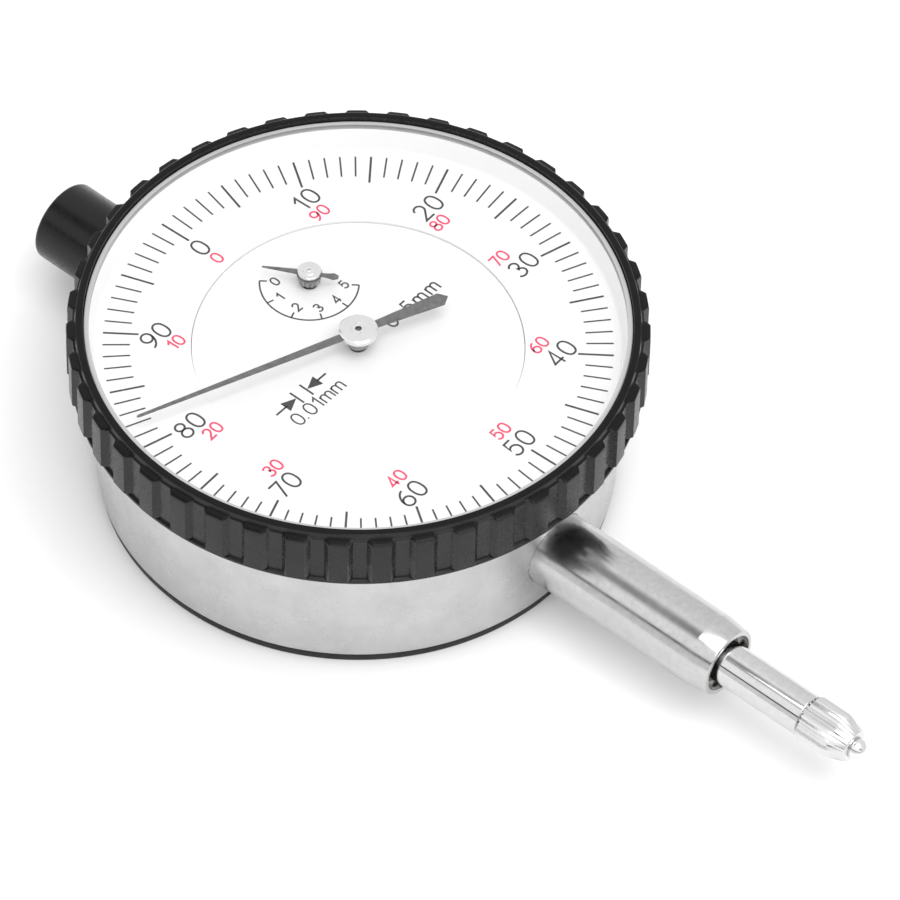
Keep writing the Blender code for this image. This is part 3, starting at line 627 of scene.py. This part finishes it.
def bezel():
    """Knurled ring with a flange under its teeth; it carries the crystal and the dial ring."""
    valley = BEZEL_CREST - TOOTH_DEPTH
    bore = CASE_RADIUS - 0.95
    foot, flange, rim = 28.45, 29.0, 28.4
    seat = 17.2
    groove, groove_low, groove_high = 26.4, 15.2, 16.2
    shoulder = [(valley, KNURL_HIGH - below) for below in (0.4, 0.25, 0.1)]
    outline = fillet([(bore, BEZEL_BOTTOM), (foot, BEZEL_BOTTOM, 0.2), (flange, 15.1, 0.1),
                      (flange, KNURL_LOW - 0.06, 0.08), (valley, KNURL_LOW, 0.04), (valley, KNURL_LOW + 0.2),
                      *shoulder, (valley, KNURL_HIGH, 0.05), (rim + 0.1, KNURL_HIGH + 0.12, 0.05),
                      (rim, BEZEL_TOP, 0.25), (SEAT_RADIUS + 0.05, BEZEL_TOP, 0.1), (SEAT_RADIUS, seat),
                      (bore, seat), (bore, groove_high), (groove, groove_high), (groove, groove_low),
                      (bore, groove_low)], 3)
    pitch = math.tau / TEETH
    edge = 0.02
    half = [0.1, CREST_HALF - edge, CREST_HALF, CREST_HALF + edge,
            FLANK_END - edge, FLANK_END, FLANK_END + edge, 0.40]
    shares = [-0.5, *(-share for share in reversed(half)), 0, *half]
    first = math.radians(90 - TOOTH_PHASE)
    angles = [first + (tooth + share) * pitch for tooth in range(TEETH) for share in shares]

    def knurl(radius, height, angle):
        """Raise the teeth out of the valley wall, with a bevel over each crest."""
        if radius < valley - 0.06 or not KNURL_LOW - 0.01 < height < KNURL_HIGH + 0.06:
            return radius
        share = abs(((angle - first) / pitch + 0.5) % 1 - 0.5)
        along = min(1, max(0, (FLANK_END - share) / (FLANK_END - CREST_HALF)))
        along = along * along * (3 - 2 * along) * 0.35 + along * 0.65
        foot = min(1, max(0, (height - KNURL_LOW) / 0.1))
        shoulder = min(1, max(0, (KNURL_HIGH + 0.05 - height) / 0.4))
        return radius + TOOTH_DEPTH * along * foot * (0.84 + 0.16 * math.sqrt(shoulder))

    ring = add_piece("bezel_ring", revolve(outline, angles, knurl), BEZEL_BLACK, "bezel_assembly", ["bezel"],
                     sharp=25)
    # The bezel's up-facing top faces take the darker black: painted shade over a glossier finish.
    finish_faces(ring, SHADED_RIM_BLACK, lambda spot, normal: spot.z > KNURL_HIGH - 0.12 and normal.z > 0.4)


EDGE_WIDTH = 0.5          # the crystal's frosted rim


def crystal():
    """Acrylic pane; its turned rim is left frosted."""
    radius = SEAT_RADIUS - 0.04
    window = radius - EDGE_WIDTH
    outline = fillet([(0, CRYSTAL_BOTTOM), (window, CRYSTAL_BOTTOM), (radius, CRYSTAL_BOTTOM, 0.05),
                      (radius, CRYSTAL_TOP, 0.12), (window, CRYSTAL_TOP), (0, CRYSTAL_TOP)])
    pane = add_piece("crystal_pane", revolve(outline, ring_angles(FINE)), CRYSTAL_CLEAR, "bezel_assembly",
                     ["crystal"])
    finish_faces(pane, FROSTED_EDGE, lambda spot, normal: math.hypot(spot.x, spot.y) > window)


def dial():
    """The white wall, the ring that turns with the bezel and the lower fixed disc; returns its top."""
    outer = SEAT_RADIUS - 0.1
    white_wall = fillet([(26.0, DIAL_TOP + 0.005), (outer, DIAL_TOP + 0.005), (outer, CRYSTAL_BOTTOM - 0.05),
                         (27.0, CRYSTAL_BOTTOM - 0.05, 0.12), (26.55, 18.3, 0.5)])
    add_piece("white_wall", revolve(white_wall, ring_angles(FINE)), WALL_WHITE, "bezel_assembly",
              ["spacer_ring"])
    ring_inner, disc_outer = DIAL_SPLIT + 0.03, DIAL_SPLIT - 0.03
    ring = fillet([(ring_inner, DIAL_BOTTOM), (DIAL_RADIUS, DIAL_BOTTOM), (DIAL_RADIUS, DIAL_TOP),
                   (ring_inner, DIAL_TOP, 0.04)])
    add_piece("dial_ring", revolve(ring, ring_angles(FINE)), ENAMEL, "bezel_assembly", ["outer_dial_ring"])
    top = DIAL_TOP - 0.25
    foot_inner, foot_outer, foot_low = 12.5, 15.5, 16.7
    disc = fillet([(DIAL_HOLE, DIAL_BOTTOM), (foot_inner, DIAL_BOTTOM), (foot_inner, foot_low),
                   (foot_outer, foot_low), (foot_outer, DIAL_BOTTOM), (disc_outer, DIAL_BOTTOM),
                   (disc_outer, top, 0.03), (DIAL_HOLE, top)])
    plate = add_piece("dial_disc", revolve(disc, ring_angles(FINE)), ENAMEL, "housing", ["inner_dial_disc"])
    cut(plate, [shifted(cylinder(DIAL_HOLE, 16, 19), (SUB_DIAL.x, SUB_DIAL.y, 0))])
    return top


# ---------------------------------------------------------------- printing on the dial

DIAL_TURN = -2.23         # the dial ring as it stands, clockwise
INK = 0.02                # thickness of the printing
TICK_OUTER = 25.73
TICK_INNER = 22.96
FIFTH_INNER = 22.14
NUMERAL_RADIUS = 20.65
NUMERAL_INSET = 0.70      # numerals at the sides are wider than high and sit this much further in
RED_INSET = 0.95          # the red numerals beside the black ones sit further in still
RED_BELOW = -2.2          # red numerals stand below the upper black ones
RED_ABOVE = 2.4           # and above the lower ones


def dial_print():
    """A hundred divisions and two rows of numerals, which turn with the dial ring."""
    bottom, top = DIAL_TOP - 0.005, DIAL_TOP + INK
    black, red = bmesh.new(), bmesh.new()
    for tick in range(100):
        angle = 3.6 * tick + DIAL_TURN
        fifth = tick % 5 == 0
        inner = FIFTH_INNER if fifth else TICK_INNER
        stroke(black, [clockwise(inner, angle), clockwise(TICK_OUTER, angle)], 0.23 if fifth else 0.18,
               bottom, top)
    turn = Matrix.Rotation(math.radians(-DIAL_TURN), 2)
    for number in range(10):
        angle = math.radians(36 * number)
        radius = NUMERAL_RADIUS - NUMERAL_INSET * math.sin(angle) ** 2
        x, y = radius * math.sin(angle), radius * math.cos(angle)
        shift = RED_BELOW if y > 0 else RED_ABOVE
        outside = turn @ Vector((x, y))
        inside = turn @ Vector((x - RED_INSET * math.sin(angle), y + shift))
        letter(black, str(10 * number), outside, 2.05, 0.22, DIAL_TURN, bottom, top, 0.26)
        letter(red, str((100 - 10 * number) % 100), inside, 1.37, 0.21, DIAL_TURN, bottom, top)
    for name, bm, material in (("dial_marks_black", black, BLACK_INK), ("dial_marks_red", red, RED_INK)):
        bmesh.ops.recalc_face_normals(bm, faces=bm.faces)
        add_piece(name, bm, material, "bezel_assembly")


def inner_print(surface):
    """The sub-dial, the two legends and the arrows that mark one division."""
    bottom, top = surface - 0.005, surface + INK
    bm = bmesh.new()
    middle = (SUB_DIAL.x, SUB_DIAL.y)
    zero, step = -38.3, -36   # the sub-dial's 0 and its spacing, clockwise
    radius, tick_inner, numeral_radius, line = 5.05, 4.3, 3.5, 0.17
    sweep = arc(middle, radius, radius, 90 - zero, 90 - zero - 5 * step, 60)
    stroke(bm, sweep, line, bottom, top)
    for number in range(6):
        angle = zero + step * number
        stroke(bm, [clockwise(tick_inner, angle, middle), clockwise(radius, angle, middle)], line,
               bottom, top)
        letter(bm, str(number), clockwise(numeral_radius, angle, middle), 1.05, line, 0, bottom, top)
    letter(bm, "0.01mm", (-8.35, -1.95), 1.55, 0.17, 0, bottom, top)
    letter(bm, "0-5mm", (7.87, -0.28), 1.6, 0.20, 0, bottom, top, 0.34)
    bar_half, bar_width, head_length, head_half = 0.95, 0.21, 1.6, 0.72
    for side, bar, tail in ((-1, -9.3, -12.4), (1, -7.86, -4.95)):
        stroke(bm, [(bar, -bar_half), (bar, bar_half)], bar_width, bottom, top)
        point = bar + side * 0.12
        stroke(bm, [(point + side * (head_length - 0.2), 0), (tail, 0)], bar_width, bottom, top)
        base = point + side * head_length
        head = [(point, 0), (base, head_half), (base, -head_half)]
        filled(bm, head if side > 0 else head[::-1], bottom, top)
    bmesh.ops.recalc_face_normals(bm, faces=bm.faces)
    add_piece("inner_marks", bm, BLACK_INK, "housing")


# ---------------------------------------------------------------- stem, spindle, contact and cap

def stem():
    """Clamping stem: tapered at its end, with a wider mouth round the bush and a flange in the case."""
    bore, mouth, mouth_depth = 2.75, 3.15, 1.2
    end_radius, taper_y = 3.65, -46.3
    flange, flange_low, flange_high = 5.2, -23.6, -22.0
    outline = fillet([(bore, STEM_END_Y + mouth_depth), (mouth, STEM_END_Y + mouth_depth),
                      (mouth, STEM_END_Y, 0.05), (end_radius, STEM_END_Y, 0.2),
                      (STEM_RADIUS, taper_y, 0.8), (STEM_RADIUS, flange_low), (flange, flange_low),
                      (flange, flange_high), (bore, flange_high)])
    add_piece("stem_tube", revolve(outline, ring_angles(MEDIUM)), STEM_STEEL, "housing", ["stem"], ON_AXIS,
              ALONG_Y)


RACK_PITCH = 0.625
RACK_TEETH_BELOW = 11     # from the pinion towards the contact, which it needs for the whole travel
RACK_TEETH_ABOVE = 2      # beyond the pinion at rest
RACK_PINION_TEETH = 16


def rack_gaps():
    """What is milled from the side of the spindle: a tooth gap faces the pinion at rest."""
    module = RACK_PITCH / math.pi
    pinion = centre("rack_pinion_arbor")
    line = pinion.x + module * RACK_PINION_TEETH / 2
    root, tip, outside = line + 1.25 * module, line - 0.9 * module, -SPINDLE_RADIUS - 1
    first = pinion.y - RACK_PITCH * RACK_TEETH_BELOW
    outline = [(outside, first - RACK_PITCH / 2)]
    for index in range(RACK_TEETH_BELOW + RACK_TEETH_ABOVE + 1):
        middle = first + index * RACK_PITCH
        outline += [(tip, middle - 0.42 * RACK_PITCH), (root, middle - 0.2 * RACK_PITCH),
                    (root, middle + 0.2 * RACK_PITCH), (tip, middle + 0.42 * RACK_PITCH)]
    outline.append((outside, middle + RACK_PITCH / 2))
    bm = bmesh.new()
    filled(bm, outline, AXIS_Z - 3, AXIS_Z + 3)
    bmesh.ops.recalc_face_normals(bm, faces=bm.faces)
    return bm


def spindle():
    """Ground rod with the contact's socket, the rack's tooth gaps and the guide pin's hole."""
    socket, depth = 1.25, 3.9
    outline = fillet([(0, SPINDLE_LOW_Y + depth), (socket, SPINDLE_LOW_Y + depth), (socket, SPINDLE_LOW_Y),
                      (SPINDLE_RADIUS, SPINDLE_LOW_Y, 0.12), (SPINDLE_RADIUS, SPINDLE_HIGH_Y, 0.35),
                      (0, SPINDLE_HIGH_Y)])
    rod = add_piece("spindle_rod", revolve(outline, ring_angles(MEDIUM)), SPINDLE_STEEL, "spindle_assembly",
                    ["spindle"], ON_AXIS, ALONG_Y)
    pin, pin_bore = centre("guide_pin"), 0.95
    pin_hole = shifted(cylinder(pin_bore, -4, 4), (0, pin.y, pin.z),
                       Matrix.Rotation(math.radians(90), 4, "Y"))
    cut(rod, [rack_gaps(), pin_hole])


def contact_point():
    """Straight-knurled collar, a cone below it and the ball it holds."""
    radius = CONTACT_RADIUS
    collar_low, collar_high = -63.0, SPINDLE_LOW_Y - 0.02
    knurl_end = 1.95          # the flutes run out on the cone at this radius
    bowl = BALL_RADIUS + 0.02
    lip = 1.12
    lip_y = BALL_Y + math.sqrt(bowl ** 2 - lip ** 2)
    arch = [(bowl * math.sin(math.radians(angle)), BALL_Y + bowl * math.cos(math.radians(angle)))
            for angle in range(0, 76, 15)]
    nose = 1.72
    stub, stub_end = 0.95, SPINDLE_LOW_Y + 3.6
    outline = fillet([*arch, (lip, lip_y), (nose, lip_y - 0.02, 0.2), (radius - 0.12, collar_low, 0.5),
                      (radius, collar_low + 0.5), (radius, collar_high - 0.3),
                      (radius - 0.16, collar_high, 0.05), (stub, collar_high), (stub, stub_end),
                      (0, stub_end)])
    flutes = 32
    flute_depth = 0.12

    def knurl(at_radius, height, angle):
        if at_radius < knurl_end or height > collar_high - 0.01:
            return at_radius
        share = min(1, (at_radius - knurl_end) / 0.35)
        return at_radius - flute_depth * share * abs(((angle / math.tau * flutes) % 1) * 2 - 1)

    angles = ring_angles(4 * flutes)
    add_piece("contact_body", revolve(outline, angles, knurl), KNURL_STEEL, "spindle_assembly",
              ["contact_point"], ON_AXIS, ALONG_Y, 25)
    ball = bmesh.new()
    bmesh.ops.create_uvsphere(ball, u_segments=SMALL, v_segments=24, radius=BALL_RADIUS * MM)
    add_piece("contact_tip", ball, BALL_STEEL, "spindle_assembly", ["contact_ball"], (0, BALL_Y, AXIS_Z),
              ALONG_Y)


def dust_cap():
    """Closed cap over the spindle's upper end."""
    roof = CAP_HIGH_Y - 1.2
    outline = fillet([(0, roof), (CAP_BORE, roof), (CAP_BORE, CAP_LOW_Y),
                      (CAP_RADIUS, CAP_LOW_Y, 0.15), (CAP_RADIUS, CAP_HIGH_Y, 0.45), (0, CAP_HIGH_Y)])
    add_piece("dust_cap_shell", revolve(outline, ring_angles(MEDIUM)), CAP_BLACK, "housing", ["dust_cap"],
              ON_AXIS, ALONG_Y)


def main_spring():
    """A closely wound wire between the post and the guide pin."""
    margin = 0.18
    start, end = low("main_spring").y + margin, high("main_spring").y - margin
    x = centre("main_spring").x
    turns, steps_a_turn, sides, wire = 34, 16, 8, 0.16
    steps = turns * steps_a_turn
    radius = (high("main_spring").x - low("main_spring").x) / 2 - margin
    bm = bmesh.new()
    rings = []
    for step in range(steps + 1):
        angle = math.tau * step / steps_a_turn
        y = start + (end - start) * step / steps
        ring = []
        for side in range(sides):
            around = math.tau * side / sides
            reach = radius + wire * math.cos(around)
            ring.append(bm.verts.new(((x + reach * math.cos(angle)) * MM, (y + wire * math.sin(around)) * MM,
                                      (AXIS_Z + reach * math.sin(angle)) * MM)))
        rings.append(ring)
    for ring, following in zip(rings, rings[1:]):
        for side in range(sides):
            bm.faces.new((ring[side], ring[side - 1], following[side - 1], following[side]))
    bm.faces.new(rings[0])
    bm.faces.new(rings[-1][::-1])
    bmesh.ops.recalc_face_normals(bm, faces=bm.faces)
    mesh = bpy.data.meshes.new("main_spring_coil")
    bm.to_mesh(mesh)
    bm.free()
    mesh.shade_smooth()
    mesh.materials.append(SPRING_WIRE)
    coil = bpy.data.objects.new("main_spring_coil", mesh)
    bpy.context.scene.collection.objects.link(coil)
    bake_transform(coil)
    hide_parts("main_spring")


# ---------------------------------------------------------------- hands

LONG_HAND_TURN = 68.9     # counter-clockwise from +Y
SHORT_HAND_TURN = 30.8


def blade(name, node, body, outline, eye, hole, place, turn):
    """A flat hand drawn along +Y, with a round eye where it sits on its hub."""
    bottom, top = low(node).z, high(node).z
    bm = bmesh.new()
    filled(bm, outline, bottom, top)
    bmesh.ops.recalc_face_normals(bm, faces=bm.faces)
    piece = add_piece(name, bm, HAND_GREY, body, [node], place, Matrix.Rotation(math.radians(turn), 4, "Z"))
    cut(piece, [shifted(cylinder(eye, bottom, top), place)], "UNION")
    cut(piece, [shifted(cylinder(hole, bottom - 1, top + 1), place)])


def long_hand():
    """A spear with a leaf-shaped tail, on a wide mushroom hub."""
    base, tip, shoulder, leaf, leaf_end = 0.45, 24.9, 0.14, 0.815, 10.2
    outline = [(-0.35, 0), (-leaf, 0.8 - leaf_end), (0, -leaf_end), (leaf, 0.8 - leaf_end), (0.35, 0),
               (base, 1.0), (shoulder, tip - 0.2), (0, tip), (-shoulder, tip - 0.2), (-base, 1.0)]
    blade("long_hand_blade", "long_hand", "long_hand_assembly", outline, 1.75, 1.2, (0, 0, 0),
          LONG_HAND_TURN)

    bottom, top = DIAL_TOP + 0.3, high("long_hand_hub").z
    head, neck = high("long_hand_hub").x, 1.15
    hole, hole_floor, bore_top = 0.33, top - 0.45, 19.85
    groove_floor, head_low = top - 0.04, top - 0.62
    outline = fillet([(0, hole_floor), (0.30, hole_floor), (hole, top, 0.03), (0.62, top),
                      (0.66, groove_floor), (0.74, groove_floor), (0.78, top), (head - 0.2, top, 0.04),
                      (head, top - 0.14, 0.04), (head, head_low, 0.1), (neck, top - 0.65), (neck, bottom),
                      (HUB_BORE, bottom), (HUB_BORE, bore_top), (0, bore_top)])
    hub = add_piece("long_hub", revolve(outline, ring_angles(MEDIUM)), HUB_STEEL,
                    "long_hand_assembly", ["long_hand_hub"])
    # Painted shade: the hub's centre hole and its neck under the head take the dark steel.
    finish_faces(hub, SHADED_HUB_STEEL,
                 lambda spot, normal: math.hypot(spot.x, spot.y) < hole + 0.01 or spot.z < top - 0.6)


def short_hand():
    """A small pointer with a waisted tail, on a hub whose collar below the hand is ribbed."""
    tail = [(-0.25, 0), (-0.22, -1.5), (-0.30, -2.1), (-0.42, -2.5), (-0.18, -3.0)]
    point = [(0.32, 1.0), (0.07, 4.8)]
    outline = tail + [(-x, y) for x, y in reversed(tail)] + point
    outline += [(0, 4.9)] + [(-x, y) for x, y in reversed(point)]
    place = (SUB_DIAL.x, SUB_DIAL.y, 0)
    blade("short_hand_blade", "short_hand", "short_hand_assembly", outline, 1.3, 1.0, place,
          SHORT_HAND_TURN)

    bottom, top = low("short_hand_hub").z, high("short_hand_hub").z
    head = high("short_hand_hub").x - SUB_DIAL.x
    neck, collar = 0.9, 1.17
    hole, hole_floor, bore_top = 0.22, top - 0.35, 19.3
    hand_bottom = low("short_hand").z
    outline = fillet([(0, hole_floor), (0.2, hole_floor), (hole, top, 0.02), (0.62, top),
                      (0.68, top - 0.04), (head - 0.02, top - 0.04, 0.08), (head, top - 0.3, 0.05),
                      (neck, top - 0.32), (neck, hand_bottom - 0.05), (collar, hand_bottom - 0.1),
                      (collar, bottom), (HUB_BORE, bottom), (HUB_BORE, bore_top), (0, bore_top)])
    ribs, rib_share, rib_depth = 14, 0.55, 0.12

    def rib(at_radius, height, angle):
        """Cut the gaps between the collar's ribs."""
        gap = (angle / math.tau * ribs) % 1 > rib_share
        return at_radius - rib_depth if gap and abs(at_radius - collar) <= 0.001 else at_radius

    hub = add_piece("short_hub", revolve(outline, ring_angles(6 * ribs), rib), HUB_STEEL,
                    "short_hand_assembly", ["short_hand_hub"], place)
    # Painted shade: the hub's centre hole and its ribbed collar under the hand take the dark steel.
    finish_faces(hub, SHADED_HUB_STEEL,
                 lambda spot, normal: math.hypot(spot.x, spot.y) < hole + 0.02 or spot.z < hand_bottom)


# ---------------------------------------------------------------- build

case()
back_cover()
bezel()
crystal()
disc_top = dial()
dial_print()
inner_print(disc_top)
stem()
spindle()
contact_point()
dust_cap()
main_spring()
long_hand()
short_hand()

INNER_FINISHES = {
    MOVEMENT_BRASS: ("front_plate", "upper_bridge", "lower_bridge", "upper_pillar_1", "upper_pillar_2",
                     "lower_pillar_1", "lower_pillar_2", "rack_wheel", "short_hand_wheel",
                     "hairspring_collet", "hairspring_stud", "guide_rail"),
    BUSH_BRONZE: ("stem_bush", "upper_bush"),
    SPRING_WIRE: ("bezel_spring_ring", "hairspring", "front_plate_screw_1", "front_plate_screw_2",
                  "front_plate_screw_3", "upper_bridge_screw_1", "upper_bridge_screw_2",
                  "lower_bridge_screw_1", "lower_bridge_screw_2"),
    SPINDLE_STEEL: ("centre_pinion_arbor", "rack_pinion_arbor", "short_hand_arbor", "guide_pin",
                    "spring_post"),
}
for finish, nodes in INNER_FINISHES.items():
    for node in nodes:
        mesh = frame["nodes"][node].data
        if mesh.materials:
            mesh.materials[0] = finish
        else:
            mesh.materials.append(finish)


# ---------------------------------------------------------------- floor, light and camera

lowest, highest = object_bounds()
middle = (lowest + highest) / 2

floor_mesh = bpy.data.meshes.new("floor")
reach = 1.5               # metres
floor_mesh.from_pydata([(-reach, -reach, lowest.z), (reach, -reach, lowest.z), (reach, reach, lowest.z),
                        (-reach, reach, lowest.z)], [], [(0, 1, 2, 3)])
floor_mesh.materials.append(floor_paper("floor_paper"))
floor = bpy.data.objects.new("floor", floor_mesh)
bpy.context.scene.collection.objects.link(floor)


def world_light():
    """A light tent seen by direction round the stem's axis: 0 degrees is +X and 90 is straight up."""
    world = bpy.data.worlds.new("tent")
    bpy.context.scene.world = world
    world.use_nodes = True
    tree = world.node_tree
    direction = add_node(tree, "ShaderNodeTexCoord").outputs["Generated"]
    parts = add_node(tree, "ShaderNodeSeparateXYZ", Vector=direction)
    around = add_node(tree, "ShaderNodeMath", {"operation": "ARCTAN2"})
    tree.links.new(parts.outputs["Z"], around.inputs[0])
    tree.links.new(parts.outputs["X"], around.inputs[1])
    half_turns = add_node(tree, "ShaderNodeMath", {"operation": "DIVIDE"})
    tree.links.new(around.outputs["Value"], half_turns.inputs[0])
    half_turns.inputs[1].default_value = math.pi
    ramp = add_node(tree, "ShaderNodeValToRGB", Fac=half_turns.outputs["Value"])
    bands = ramp.color_ramp
    while len(bands.elements) > 1:
        bands.elements.remove(bands.elements[-1])
    bands.elements[0].position = 0
    bands.elements[0].color = (*grey(0.75), 1)
    for degrees, level in ((40, 0.80), (70, 0.85), (84, 0.95), (98, 0.30), (110, 0.30), (122, 1.0),
                           (149, 1.0), (151.5, 0.9), (153, 0.01), (158, 0.01), (159.5, 0.75), (180, 0.75)):
        band = bands.elements.new(degrees / 180)
        band.color = (*grey(level), 1)
    background = tree.nodes["Background"]
    tree.links.new(ramp.outputs["Color"], background.inputs["Color"])
    background.inputs["Strength"].default_value = 1.2


def area_light(name, direction, distance, size, power):
    """A soft square light that faces the object; direction is azimuth and elevation in degrees."""
    azimuth, elevation = (math.radians(value) for value in direction)
    away = Vector((math.sin(azimuth) * math.cos(elevation), -math.cos(azimuth) * math.cos(elevation),
                   math.sin(elevation)))
    light = bpy.data.lights.new(name, "AREA")
    light.size = size
    light.energy = power
    lamp = bpy.data.objects.new(name, light)
    lamp.location = middle + away * distance
    lamp.rotation_mode = "QUATERNION"
    lamp.rotation_quaternion = away.to_track_quat("Z", "Y")
    bpy.context.scene.collection.objects.link(lamp)


world_light()
area_light("key", (-20, 70), 0.6, 0.5, 2.3)

# The camera stands as it does to the real object's front left, well above it.
CAMERA_AZIMUTH = -50.43
CAMERA_ELEVATION = 49.23
CAMERA_ROLL = 1.547
CAMERA_DISTANCE = 791.8
CAMERA_LENS = 312.59
AIM = Vector((2.79, -10.04, 7.0))        # millimetres

azimuth, elevation = math.radians(CAMERA_AZIMUTH), math.radians(CAMERA_ELEVATION)
back = Vector((math.sin(azimuth) * math.cos(elevation), -math.cos(azimuth) * math.cos(elevation),
               math.sin(elevation)))
lens = bpy.data.cameras.new("camera")
lens.lens = CAMERA_LENS
lens.sensor_width = 36
lens.dof.use_dof = False
lens.clip_start, lens.clip_end = 0.05, 20
camera = bpy.data.objects.new("camera", lens)
camera.location = (AIM + back * CAMERA_DISTANCE) * MM
camera.rotation_mode = "QUATERNION"
roll = Matrix.Rotation(math.radians(CAMERA_ROLL), 3, "Z")
camera.rotation_quaternion = ((-back).to_track_quat("-Z", "Y").to_matrix() @ roll).to_quaternion()
bpy.context.scene.collection.objects.link(camera)
bpy.context.scene.camera = camera
bpy.context.scene.view_settings.view_transform = "Standard"
